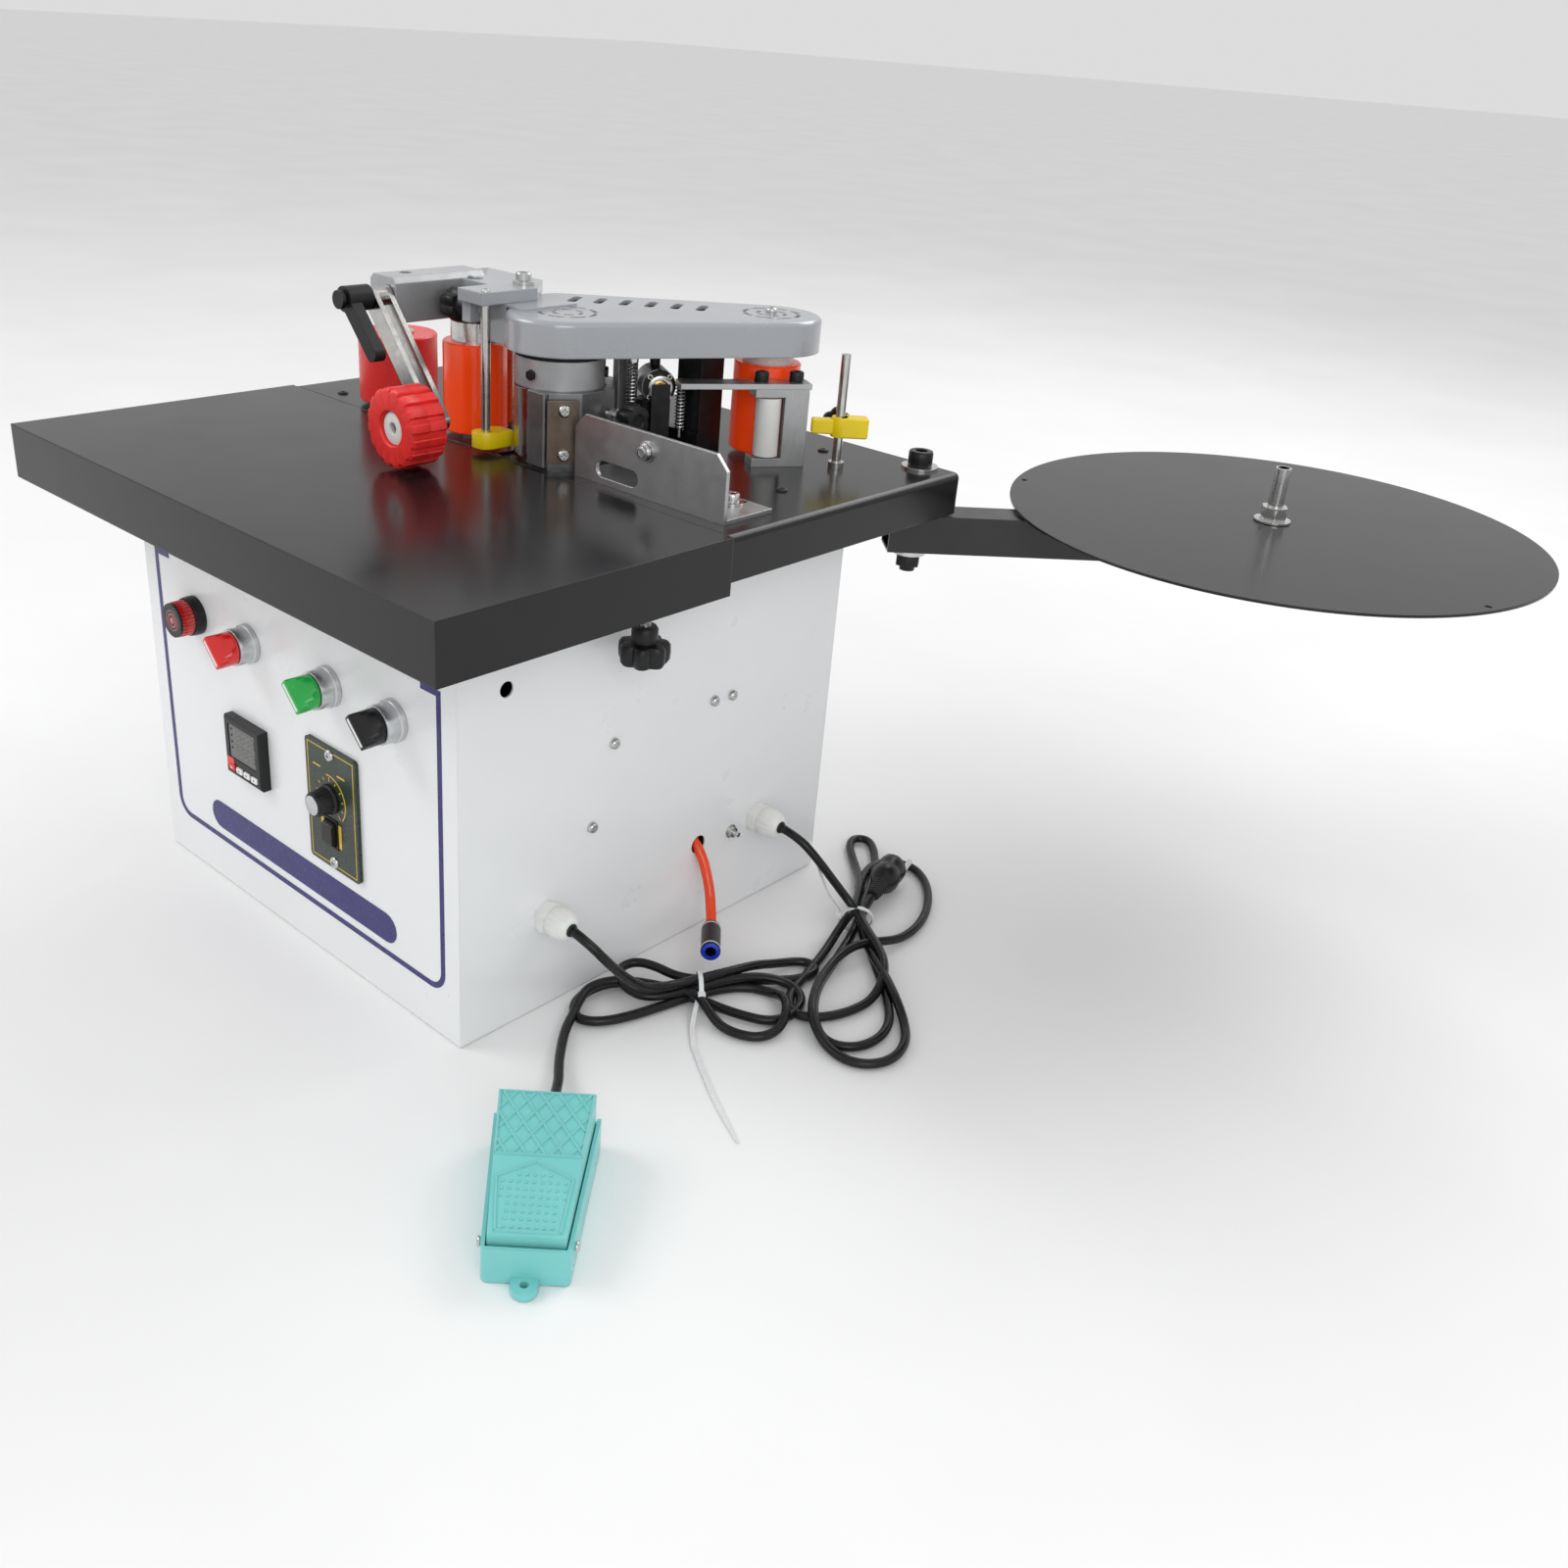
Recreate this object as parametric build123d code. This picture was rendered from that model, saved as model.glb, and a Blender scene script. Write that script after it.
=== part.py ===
from build123d import *
import math
import os

os.makedirs("parts", exist_ok=True)

# Frame: origin at the centre of the cabinet's underside, +Z up, -Y towards the operator,
# +X towards the side with the cords. All sizes in millimetres.

# ---- cabinet and table
table_top = 350.0
sheet = 2.0
plate_t = 8.0
cabinet_w = 380.0
cabinet_d = 380.0
cabinet_h = table_top - sheet - plate_t
cabinet_wall = 1.5
flange = 9.0
table_w = cabinet_w + 120.0
table_d = 502.0
rear_skirt = 32.0
rear_bend = 5.0
front_skirt = 40.0
tray_overhang = 2.0
seam_y = -12.0
seam_gap = 0.5
tray_travel = 80.0
rail_t = 4.0
rail_x = cabinet_w / 2 + 27.0
lock_y = -55.0
lock_z = table_top - 88.0
stud_r = 4.0
stud_boss_r = 7.0

# ---- fits
slip = 0.05          # radial clearance of a turning or sliding fit
gap = 0.3            # between surfaces that pass each other
panel_gap = 0.3      # round a body in its panel cut-out

# ---- rollers: (x, y), radius
shaft_r = 6.0
red_at = (-153.0, 24.0)
red_r = 31.5
red_pin_r = 8.0
red_h = 58.0
drive_at = (-45.0, 16.0)
drive_r = 24.5
drive_hub_r = 18.3
drive_h = 71.0
drive_hub_h = 15.0
glue_at = (36.0, 12.0)
glue_r = 20.0
feed_at = (120.0, 164.0)
feed_r = 25.5
feed_hub_r = 19.3
feed_h = 70.0
pinch_r = 9.5
pinch_pin_r = 3.0

# ---- belts: every roller surface runs at the same speed
lower_glue_pulley = 18.0
lower_drive_pulley = lower_glue_pulley * drive_r / glue_r
upper_glue_pulley = 14.0
upper_feed_pulley = upper_glue_pulley * feed_r / glue_r
belt_t = 2.0
pulley_w = 10.0
lower_belt_z = cabinet_h - 17.0

# ---- glue pot
pot_at = (42.0, 24.0)
collar_r = 33.0
pot_top = table_top + 55.0
collar_t = 21.0
lid_r = 30.0
glue_knob_at = (38.0, table_top + 38.0)

# ---- belt guard and press head
guard_z = table_top + 80.0
guard_h = 25.0
guard_wall = 3.0
upper_belt_z = guard_z + 7.0
guard_circles = [(42.0, 24.0, 40.0), (120.0, 164.0, 38.0), (-5.0, 66.0, 20.0)]
head_z = guard_z + guard_h + 2.0
head_t = 9.0
strip_z = head_z - 19.0
strip_top = head_z + 13.0
pivot_at = (-59.0, head_z)
wheel_at = (5.0, table_top + 30.0)
pivot_r = 4.0
knob_z = head_z - 7.0
wheel_r = 28.0
wheel_w = 30.0
wheel_y = -100.0
wheel_ribs = 18
arm_t = 4.0
arm_w = 14.0
arm_front_y = -69.0
arm_rear_y = -57.0

# ---- guides
rod_r = 3.5
left_rod_at = (4.0, -14.0)
right_rod_at = (184.0, 177.0)
block_start = (146.0, 123.0)
block_end = (168.0, 158.0)
block_w = 17.0
block_top = table_top + 58.0
guide_plate_t = 4.0

# ---- reel
arm_pivot = (222.0, 233.0)
reel_at = (420.0, 440.0)
arm_side = 30.0
arm_wall = 2.0
arm_bottom = table_top - 64.0
arm_tail = 20.0
disc_r = 205.0
disc_t = 2.0
spindle_r = 6.0
spindle_top = table_top + 13.0

# ---- operator panel, centres as (x, z) on the front face
panel_y = -cabinet_d / 2
button_r = 14.5
button_hole_r = 11.2
lamp_at = (-120.0, 225.0)
selectors = {"power": (-48.0, 225.0), "motor": (52.0, 226.0), "mode": (125.0, 227.0)}
temp_at = (-56.0, 136.0)
temp_side = 48.0
temp_body = 44.5
speed_at = (52.0, 131.0)
speed_w = 60.0
speed_h = 97.0
speed_knob_at = (50.0, 139.0)
rocker_at = (50.0, 112.0)
rocker_r = 9.5
rocker_w = 12.0

# ---- cords and hose
cord_r = 3.5
hose_r = 4.0
gland_y = {"pedal": -113.0, "mains": 110.5}
gland_z = 76.0
gland_len = 28.0
hose_hole = (43.0, 74.5)

# ---- pedal: local x runs from its back to its front
pedal_at = (303.0, -210.0)
pedal_turn = -47.7
pedal_len = 118.0
pedal_back_w = 68.0
pedal_front_w = 51.0
pedal_wall = 2.5
pedal_back_h = 46.0
pedal_front_h = 30.0
pedal_side_h = 25.0
pedal_pin = (104.0, 17.0)
pedal_pin_r = 2.5

solids = {}


def add(node, *shapes):
    """Keep the shapes as one node, each solid on its own."""
    found = [s for shape in shapes for s in shape.solids()]
    solids[node] = found


def block(x0, x1, y0, y1, z0, z1):
    low = (Align.MIN, Align.MIN, Align.MIN)
    return Pos(x0, y0, z0) * Box(x1 - x0, y1 - y0, z1 - z0, align=low)


def post(at, z0, z1, r):
    """Upright cylinder at (x, y)."""
    base = (Align.CENTER, Align.CENTER, Align.MIN)
    return Pos(at[0], at[1], z0) * Cylinder(r, z1 - z0, align=base)


def bar(p, q, r):
    """Cylinder of radius r from point p to point q."""
    run = Vector(*q) - Vector(*p)
    base = (Align.CENTER, Align.CENTER, Align.MIN)
    return Plane(origin=p, z_dir=run.normalized()) * Cylinder(r, run.length, align=base)


def prism(points, z0, z1):
    return Pos(0, 0, z0) * extrude(Polygon(*points, align=None), amount=z1 - z0, dir=(0, 0, 1))


def band(circles, z0, z1):
    """Prism inside a tight band round the circles (x, y, r), listed anticlockwise."""
    normals = []
    for (xa, ya, ra), (xb, yb, rb) in zip(circles, circles[1:] + circles[:1]):
        run = math.hypot(xb - xa, yb - ya)
        normals.append(math.atan2(yb - ya, xb - xa) - math.acos((ra - rb) / run))
    edges = []
    for i, (x, y, r) in enumerate(circles):
        start = normals[i - 1]
        turn = (normals[i] - start) % math.tau

        def at(a):
            return (x + r * math.cos(a), y + r * math.sin(a))

        edges.append(ThreePointArc(at(start), at(start + turn / 2), at(start + turn)))
        xn, yn, rn = circles[(i + 1) % len(circles)]
        a = normals[i]
        edges.append(Line(at(a), (xn + rn * math.cos(a), yn + rn * math.sin(a))))
    return Pos(0, 0, z0) * extrude(make_face(edges), amount=z1 - z0, dir=(0, 0, 1))


def grown(circles, by):
    return [(x, y, r + by) for x, y, r in circles]


def link(p, q, y0, thick, width):
    """Flat link with round ends in the XZ plane, from p to q, between y0 and y0 + thick."""
    run = math.hypot(q[0] - p[0], q[1] - p[1])
    middle = ((p[0] + q[0]) / 2, y0 + thick, (p[1] + q[1]) / 2)
    flat = SlotCenterToCenter(run, width)
    plane = Plane(origin=middle, x_dir=(q[0] - p[0], 0, q[1] - p[1]), z_dir=(0, -1, 0))
    return plane * extrude(flat, amount=thick)


def cap_screw(x, y, z, r, h):
    """Socket head standing on the surface at z."""
    socket = Pos(x, y, z + h * 0.4) * extrude(RegularPolygon(r * 0.55, 6), amount=h)
    return post((x, y), z, z + h, r) - socket


def star_knob(r, h, lobes):
    """Lobed grip along +Z from z = 0."""
    grip = post((0, 0), 0, h, r)
    for i in range(lobes):
        a = math.tau * i / lobes
        grip -= post((1.16 * r * math.cos(a), 1.16 * r * math.sin(a)), -1, h + 1, 0.3 * r)
    return grip


def facing(x, y, z, direction):
    """Place something drawn along +Z at a point, along a direction."""
    return Plane(origin=(x, y, z), z_dir=direction).location


# ---------------------------------------------------------------- cabinet
half_w = cabinet_w / 2
half_d = cabinet_d / 2


def cabinet_shell():
    outer = block(-half_w, half_w, -half_d, half_d, 0, cabinet_h)
    w = cabinet_wall
    shell = outer - block(-half_w + w, half_w - w, -half_d + w, half_d - w, w, cabinet_h - w)
    shell -= block(-half_w + flange, half_w - flange, -half_d + flange, half_d - flange,
                   cabinet_h - 2 * w, cabinet_h + 1)
    # rear access opening behind the louvred panel
    shell -= block(-150, 150, half_d - 2 * w, half_d + 1, 40, 300)
    # operator panel
    for x, z in [lamp_at, *selectors.values()]:
        shell -= bar((x, panel_y - 1, z), (x, panel_y + 3, z), button_hole_r)
    cut = temp_body / 2 + panel_gap
    shell -= block(temp_at[0] - cut, temp_at[0] + cut, panel_y - 1, panel_y + 3,
                   temp_at[1] - cut, temp_at[1] + cut)
    shell -= block(speed_at[0] - 26.3, speed_at[0] + 26.3, panel_y - 1, panel_y + 3,
                   speed_at[1] - 40.3, speed_at[1] + 40.3)
    # side face: vent hole, hose hole and cable glands
    shell -= bar((half_w - 3, -150, 260), (half_w + 1, -150, 260), 5.5)
    shell -= bar((half_w - 3, *hose_hole), (half_w + 1, *hose_hole), hose_r + 3.5)
    for y in gland_y.values():
        shell -= bar((half_w - 3, y, gland_z), (half_w + 1, y, gland_z), 8.0)
    return shell


def rear_panel():
    y = half_d
    panel = block(-160, 160, y, y + cabinet_wall, 30, 310)
    for i in range(6):
        z = 200 + 14 * i
        panel -= block(-60, 60, y - 1, y + 3, z, z + 5)
    return panel


def cabinet_fasteners():
    side = [(-53, 192), (-72, 132), (49.6, 195), (69.5, 194)]
    heads = [bar((half_w, y, z), (half_w + 3, y, z), 3.6) for y, z in side]
    stud = bar((half_w, 80, 73), (half_w + 9, 80, 73), 2.0)
    nut = bar((half_w, 80, 73), (half_w + 3.5, 80, 73), 4.2)
    y = half_d + cabinet_wall
    rear = [bar((x, y, z), (x, y + 2.5, z), 3.6) for x in (-154, 154) for z in (38, 302)]
    return heads + [stud + nut] + rear


add("cabinet_shell", cabinet_shell())
add("rear_panel", rear_panel())

# ---------------------------------------------------------------- table
table_z = table_top - sheet
half_table = table_w / 2
rear_edge = table_d / 2 - 1
table_holes = [(drive_at, 13.0), (feed_at, 13.0), (red_at, 13.0)]
pot_outline = [(12, 8), (12, 52), (30, 62), (62, 62), (79, 44), (79, 12), (66, -8), (47, -8)]
pot_clear = 1.5


def rear_table():
    def pan(inset, z1):
        body = block(-half_table + inset, half_table - inset, seam_y - 60, rear_edge - inset,
                     table_top - rear_skirt - 1, z1)
        return fillet(body.edges().filter_by(Axis.Z) + body.faces().sort_by(Axis.Z)[-1].edges(),
                      rear_bend - inset)

    table = pan(0, table_top) - pan(sheet, table_z)
    table &= block(-half_table, half_table, seam_y, rear_edge, table_top - rear_skirt, table_top)
    for at, r in table_holes:
        table -= post(at, table_z - 1, table_top + 1, r)
    table -= block(12 - pot_clear, 79 + pot_clear, -8 - pot_clear, 62 + pot_clear,
                   table_z - 1, table_top + 1)
    table -= post(arm_pivot, table_z - 1, table_top + 1, spindle_r + slip)
    return table


def table_frame():
    """Steel plate on the cabinet's rim that carries the rollers, with rails for the front table."""
    plate = block(-half_w, half_w, seam_y + 2, half_d, cabinet_h, table_z)
    for at in (drive_at, glue_at, feed_at):
        plate -= post(at, cabinet_h - 1, table_z + 1, shaft_r + 2 * gap)
    rails = []
    for side in (-1, 1):
        x = side * rail_x
        rail = block(x - 15, x + 15, seam_y - 168, seam_y + 90, table_z - 0.1 - rail_t, table_z - 0.1)
        slot = block(x - stud_boss_r - slip, x + stud_boss_r + slip,
                     lock_y - tray_travel - stud_boss_r - 1, lock_y + stud_boss_r + 1,
                     table_z - 20, table_z + 1)
        rails.append(rail - slot)
        # spacer that holds the rail tight under the rear table
        rails[-1] += block(x - 15, x + 15, seam_y + 20, seam_y + 90, table_z - 1, table_z)
    return [plate] + rails


def front_table():
    half = half_table + tray_overhang
    front = seam_y - seam_gap - (table_d / 2 - 12.5 + 1.5)
    body = block(-half, half, front, seam_y - seam_gap, table_top - front_skirt, table_top)
    body -= block(-half + sheet, half - sheet, front + sheet, seam_y + 1,
                  table_top - front_skirt - 1, table_z)
    # weld nuts that run in the rail slots
    for side in (-1, 1):
        body += post((side * rail_x, lock_y), table_z - 6, table_z, stud_boss_r)
        body -= post((side * rail_x, lock_y), table_z - 7, table_z - 0.2, stud_r + slip)
    # notches at the seam that clear the left guide foot and the glue roller
    body -= block(12 - pot_clear, 79 + pot_clear, seam_y - 1, seam_y + 5, table_z - 1, table_top + 1)
    return body


def lock_knob():
    knob = Pos(rail_x, lock_y, lock_z) * star_knob(18, 18, 6)
    knob += post((rail_x, lock_y), lock_z + 18, lock_z + 24, 8)
    knob += post((rail_x, lock_y), lock_z + 24, table_z - 1, stud_r)
    return knob + post((rail_x, lock_y), table_z - 14, table_z - 7.5, 10)


add("rear_table", rear_table())
add("front_table", front_table())
add("lock_knob", lock_knob())

# ---------------------------------------------------------------- drive
gear_top = cabinet_h - 55.0
gear_at = (-45.0, 34.0)


def gearmotor():
    x, y = gear_at
    head = block(x - 45, x + 45, y - 45, y + 45, gear_top - 60, gear_top)
    motor = post(gear_at, gear_top - 175, gear_top - 60, 44)
    fan = post(gear_at, gear_top - 185, gear_top - 175, 40)
    unit = head + motor + fan
    return unit - post(drive_at, gear_top - 16, gear_top + 1, shaft_r + slip)


def motor_mount():
    x, y = gear_at
    shelf = block(x - 50, x + 50, y - 45, y + 51, gear_top, gear_top + 6)
    shelf -= post(drive_at, gear_top - 1, gear_top + 7, 16)
    web = block(x - 50, x + 50, y + 45, y + 51, gear_top, cabinet_h)
    foot = block(x - 50, x + 50, y + 45, y + 100, cabinet_h - 6, cabinet_h)
    ribs = block(x - 50, x - 45, y + 10, y + 51, gear_top, cabinet_h - 8)
    return shelf + web + foot + ribs


def roller_bearings():
    """Flanged bushes of the driven rollers in the carrier plate, and the red roller's pin."""
    bushes = []
    for at in (drive_at, feed_at):
        bush = post(at, table_z, table_top + 3, 12) + post(at, lower_belt_z + pulley_w + 1, cabinet_h, 16)
        bushes.append(bush - post(at, lower_belt_z, table_top + 4, shaft_r + slip))
    glue_bush = post(glue_at, lower_belt_z + pulley_w + 1, cabinet_h, 16)
    bushes.append(glue_bush - post(glue_at, lower_belt_z, table_top, shaft_r + slip))
    pin = post(red_at, table_z, table_top + 3, 12.5) + post(red_at, table_z, table_top + red_h + 4, red_pin_r)
    return bushes + [pin]


def drive_roller():
    """Orange driving press roller with its shaft and lower pulley."""
    top = table_top + drive_h
    roller = post(drive_at, table_top + 4, top, drive_r)
    roller += post(drive_at, top, top + drive_hub_h, drive_hub_r)
    roller = chamfer(roller.edges().filter_by(GeomType.CIRCLE).group_by(SortBy.RADIUS)[-1], 1)
    shaft = post(drive_at, gear_top - 14, head_z + 5, shaft_r)
    return roller + shaft


def drive_coupling():
    body = post(drive_at, gear_top + 8, gear_top + 28, 14)
    pulley = post(drive_at, lower_belt_z, lower_belt_z + pulley_w, lower_drive_pulley)
    return (body + pulley) - post(drive_at, gear_top, table_top, shaft_r)


def glue_roller():
    roller = post(glue_at, table_top + 4, pot_top - 1, glue_r)
    shaft = post(glue_at, lower_belt_z, upper_belt_z + pulley_w + 2, shaft_r)
    low = post(glue_at, lower_belt_z, lower_belt_z + pulley_w, lower_glue_pulley)
    high = post(glue_at, upper_belt_z, upper_belt_z + pulley_w, upper_glue_pulley)
    return roller + shaft + low + high


def feed_roller():
    roller = post(feed_at, table_top + 4, table_top + feed_h, feed_r)
    roller = chamfer(roller.edges().filter_by(GeomType.CIRCLE), 1)
    hub = post(feed_at, table_top + feed_h, guard_z - 1, feed_hub_r)
    shaft = post(feed_at, lower_belt_z + pulley_w + 2, upper_belt_z + pulley_w + 2, shaft_r)
    high = post(feed_at, upper_belt_z, upper_belt_z + pulley_w, upper_feed_pulley)
    return roller + hub + shaft + high


def loop_belt(a, ra, b, rb, z):
    inner = [(a[0], a[1], ra + gap), (b[0], b[1], rb + gap)]
    outer = grown(inner, belt_t)
    return band(outer, z + 0.5, z + pulley_w - 0.5) - band(inner, z, z + pulley_w)


add("gearmotor", gearmotor())
add("table_frame", *table_frame(), motor_mount())
add("roller_bearings", *roller_bearings())
add("press_roller_drive", drive_roller(), drive_coupling())
add("glue_roller", glue_roller())
add("feed_roller", feed_roller())
add("drive_belts",
    loop_belt(drive_at, lower_drive_pulley, glue_at, lower_glue_pulley, lower_belt_z),
    loop_belt(glue_at, upper_glue_pulley, feed_at, upper_feed_pulley, upper_belt_z))
red_roller = post(red_at, table_top + 4, table_top + red_h, red_r)
red_roller = chamfer(red_roller.edges().filter_by(GeomType.CIRCLE), 1)
add("press_roller_idle", red_roller - post(red_at, table_top, table_top + red_h + 1, red_pin_r + slip))

# ---------------------------------------------------------------- glue pot


def glue_pot():
    pot = prism(pot_outline, table_z, pot_top)
    pot -= post(glue_at, table_top + 3.5, pot_top + 1, glue_r + 0.8)
    pot -= post((56, 38), table_top + 14, pot_top + 1, 14)
    return pot - post(glue_at, table_z - 1, table_top + 4, shaft_r + slip)


def glue_collar():
    ring = post(pot_at, pot_top, pot_top + collar_t, collar_r)
    ring -= post(pot_at, pot_top + 6, pot_top + collar_t + 1, collar_r - 5)
    ring -= post(glue_at, pot_top - 1, pot_top + 7, shaft_r + slip)
    ring -= post((56, 38), pot_top - 1, pot_top + 7, 10)
    lid = post(pot_at, pot_top + collar_t, guard_z - 0.5, lid_r)
    return [ring, lid - post(glue_at, pot_top, guard_z + 1, shaft_r + 1)]


def glue_scraper():
    """Metering slab at the roller's mouth and the small plate on the facet beside it."""
    slab = block(47, 65.5, -12, -8, table_top + 2, pot_top)
    slab = chamfer(slab.edges().filter_by(Axis.Z), 1)
    plate = prism([(67, -10.4), (68.6, -11.4), (81, 7.6), (79.4, 8.6)], table_top + 6, pot_top - 4)
    return [slab, plate]


def glue_knob():
    """Adjusting screw with a star grip along +X."""
    y, z = glue_knob_at
    shaft = bar((71, y, z), (96, y, z), 3.0)
    collar = bar((84, y, z), (88, y, z), 5.0)
    grip = facing(96, y, z, (1, 0, 0)) * star_knob(13, 15, 6)
    return shaft + collar + grip


add("glue_pot", glue_pot() - bar((70, *glue_knob_at), (90, *glue_knob_at), 3.0 + slip), *glue_scraper())
add("glue_collar", *glue_collar())
add("glue_knob", glue_knob())

# ---------------------------------------------------------------- fence and tape guides


def fence():
    upright = block(86, 231, 0, 3, table_top, table_top + 46)
    upright = chamfer(upright.edges().filter_by(Axis.Y).group_by(Axis.Z)[-1], 10)
    foot = block(86, 231, 0, 49, table_top, table_top + 3)
    angle = upright + foot
    slot = Pos(129, 1.5, table_top + 11) * Rot(90, 0, 0) * extrude(SlotOverall(42, 12), amount=4, both=True)
    foot_slot = Pos(207, 34, table_top) * extrude(SlotOverall(28, 8, rotation=90), amount=8, both=True)
    return angle - slot - foot_slot


u_len = math.hypot(block_end[0] - block_start[0], block_end[1] - block_start[1])
u_dir = ((block_end[0] - block_start[0]) / u_len, (block_end[1] - block_start[1]) / u_len)


def along(s, t):
    """Point s along the tape guide from its start and t to its left."""
    return (block_start[0] + s * u_dir[0] - t * u_dir[1], block_start[1] + s * u_dir[1] + t * u_dir[0])


def strip_xy(s0, s1, t0, t1, z0, z1):
    return prism([along(s0, t0), along(s1, t0), along(s1, t1), along(s0, t1)], z0, z1)


pinch_at = along(12.7, 8.0)
pinch_mouth = 23.0


def guide_block():
    body = strip_xy(0, u_len, 0, block_w, table_top, block_top)
    body -= strip_xy(-1, pinch_mouth, -1, block_w + 1, table_top + 6.5, block_top - 6)
    return body + post(pinch_at, table_top + 6.5, block_top - 6, pinch_pin_r)


def guide_top_plate():
    top = block_top + guide_plate_t
    plate = strip_xy(-57, u_len + 1.5, 0, block_w, block_top, top)
    return plate - post(feed_at, block_top - 1, top + 1, feed_r + 1.5)


def pinch_roller():
    roller = post(pinch_at, table_top + 7.5, block_top - 7, pinch_r)
    return roller - post(pinch_at, table_top, block_top, pinch_pin_r + slip)


def guide_rods():
    left = post(left_rod_at, table_top + 6, head_z, rod_r)
    right = post(right_rod_at, table_top, table_top + 85, rod_r) + post(right_rod_at, table_top, table_top + 5, 6)
    return [left, right]


def tape_foot():
    x, y = left_rod_at
    foot = block(x - 10, x + 9, y - 9, y + 20, table_top + 4, table_top + 16)
    foot = fillet(foot.edges().filter_by(Axis.Z), 4)
    foot -= post((x, y), table_top, table_top + 20, rod_r + slip)
    foot -= post((x - 1, y + 9), table_top, table_top + 7, 3)
    return foot


clamp_z = table_top + 24.0
clamp_h = 15.0


def tape_clamp():
    body = Pos(0, 0, 0) * Box(43, 13, clamp_h, align=(Align.CENTER, Align.CENTER, Align.MIN))
    body = fillet(body.edges().filter_by(Axis.Z), 3)
    body = Pos(right_rod_at[0], right_rod_at[1], clamp_z) * Rot(0, 0, 46) * body
    return body - post(right_rod_at, table_top, clamp_z + clamp_h + 1, rod_r + slip)


def clamp_screw():
    """Winged screw across the clamp, on the side away from the rollers."""
    x, y = right_rod_at
    z = clamp_z + clamp_h
    side = (math.cos(math.radians(136)), math.sin(math.radians(136)), 0)
    root = (x + side[0] * 6.5, y + side[1] * 6.5, z - clamp_h / 2)
    tip = (root[0] + side[0] * 8, root[1] + side[1] * 8, root[2])
    screw = bar(root, tip, 5)
    wings = facing(*tip, side) * Pos(0, 0, 3) * Box(22, 5, 6)
    return screw + wings


add("fence", fence())
add("guide_block", guide_block())
add("guide_top_plate", guide_top_plate())
add("pinch_roller", pinch_roller())
add("tape_foot", tape_foot())
add("tape_clamp", tape_clamp())
add("clamp_screw", clamp_screw())

# ---------------------------------------------------------------- belt guard


def belt_guard():
    top = guard_z + guard_h
    shell = band(guard_circles, guard_z, top)
    rim = shell.faces().sort_by(Axis.Z)[-1].edges()
    shell = fillet(rim, 4)
    shell -= band(grown(guard_circles, -guard_wall), guard_z - 1, top - guard_wall)
    # cooling slots in a row across the top
    for i in range(6):
        f = i / 5
        at = (7 + 73 * f, 69 + 62 * f)
        cut = SlotOverall(24, 7, rotation=122)
        shell -= Pos(at[0], at[1], top - 5) * extrude(cut, amount=10)
    # two round groups of curved vents
    for x, y in ((44, 28), feed_at):
        for r, count, sweep in ((10.5, 6, 26), (20.5, 8, 28)):
            for k in range(count):
                hole = SlotArc(CenterArc((0, 0), r, 360 * k / count + 10, sweep), 3)
                shell -= Pos(x, y, top - 5) * extrude(hole, amount=10)
    neck = block(-10, 30, 0, 50, guard_z - 2, head_z)
    neck -= band(guard_circles, guard_z - 3, top)
    return shell + neck


def guard_post():
    x, y, r = guard_circles[2]
    return post((x, y), table_top, guard_z + guard_h - guard_wall, 5)


add("belt_guard", belt_guard())

# ---------------------------------------------------------------- press head


def press_head():
    plate = [(-80, 8), (-20, 8), (-20, -20), (8, -20), (8, 31), (-17, 58), (-80, 58)]
    head = prism(plate, head_z, head_z + head_t)
    strip = block(-80, -50, -52, 30, strip_z, strip_top)
    strip = chamfer(strip.edges().filter_by(Axis.Y).group_by(Axis.Z)[-1], 4)
    head += strip
    head -= post((-68, -30), strip_top - 8, strip_top + 1, 5)
    head -= post(drive_at, strip_z - 1, strip_top + 1, shaft_r + slip)
    lug = block(-20, -11, -16, 4, strip_z + 4, head_z)
    head += lug
    return head - bar((-22, -6, knob_z), (-10, -6, knob_z), 3 + slip)


def head_knob():
    grip = facing(-22.5, -6, knob_z, (-1, 0, 0)) * star_knob(12.5, 24, 6)
    return grip + bar((-22.5, -6, knob_z), (-12, -6, knob_z), 3)


def wheel_arm():
    p, q = pivot_at, wheel_at
    arm = link(p, q, arm_front_y, arm_t, arm_w) + link(p, q, arm_rear_y, arm_t, arm_w)
    arm += bar((p[0], arm_front_y, p[1]), (p[0], arm_rear_y, p[1]), 7)
    arm += bar((q[0], arm_front_y, q[1]), (q[0], arm_rear_y, q[1]), 7)
    arm += bar((q[0], wheel_y + 4, q[1]), (q[0], arm_front_y, q[1]), pivot_r)
    return arm - bar((p[0], -80, p[1]), (p[0], -50, p[1]), pivot_r + slip)


def press_wheel():
    x, z = wheel_at
    y1 = wheel_y + wheel_w - 0.5
    wheel = bar((x, wheel_y, z), (x, y1, z), wheel_r)
    for i in range(wheel_ribs):
        a = math.tau * (i + 0.5) / wheel_ribs
        gx, gz = x + (wheel_r + 0.4) * math.cos(a), z + (wheel_r + 0.4) * math.sin(a)
        wheel -= bar((gx, wheel_y - 1, gz), (gx, y1 + 1, gz), 1.8)
    wheel -= bar((x, wheel_y - 1, z), (x, wheel_y + 14, z), 12)
    return wheel - bar((x, wheel_y - 1, z), (x, y1 + 1, z), pivot_r + slip)


def clamp_lever():
    x, z = pivot_at
    hub = bar((x, -90, z), (x, -70, z), 9)
    tip = (x + 30, z - 33)
    lever = link((x, z), tip, -90, 9, 11)
    return (hub + lever) - bar((x, -91, z), (x, -69, z), pivot_r + slip)


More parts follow.
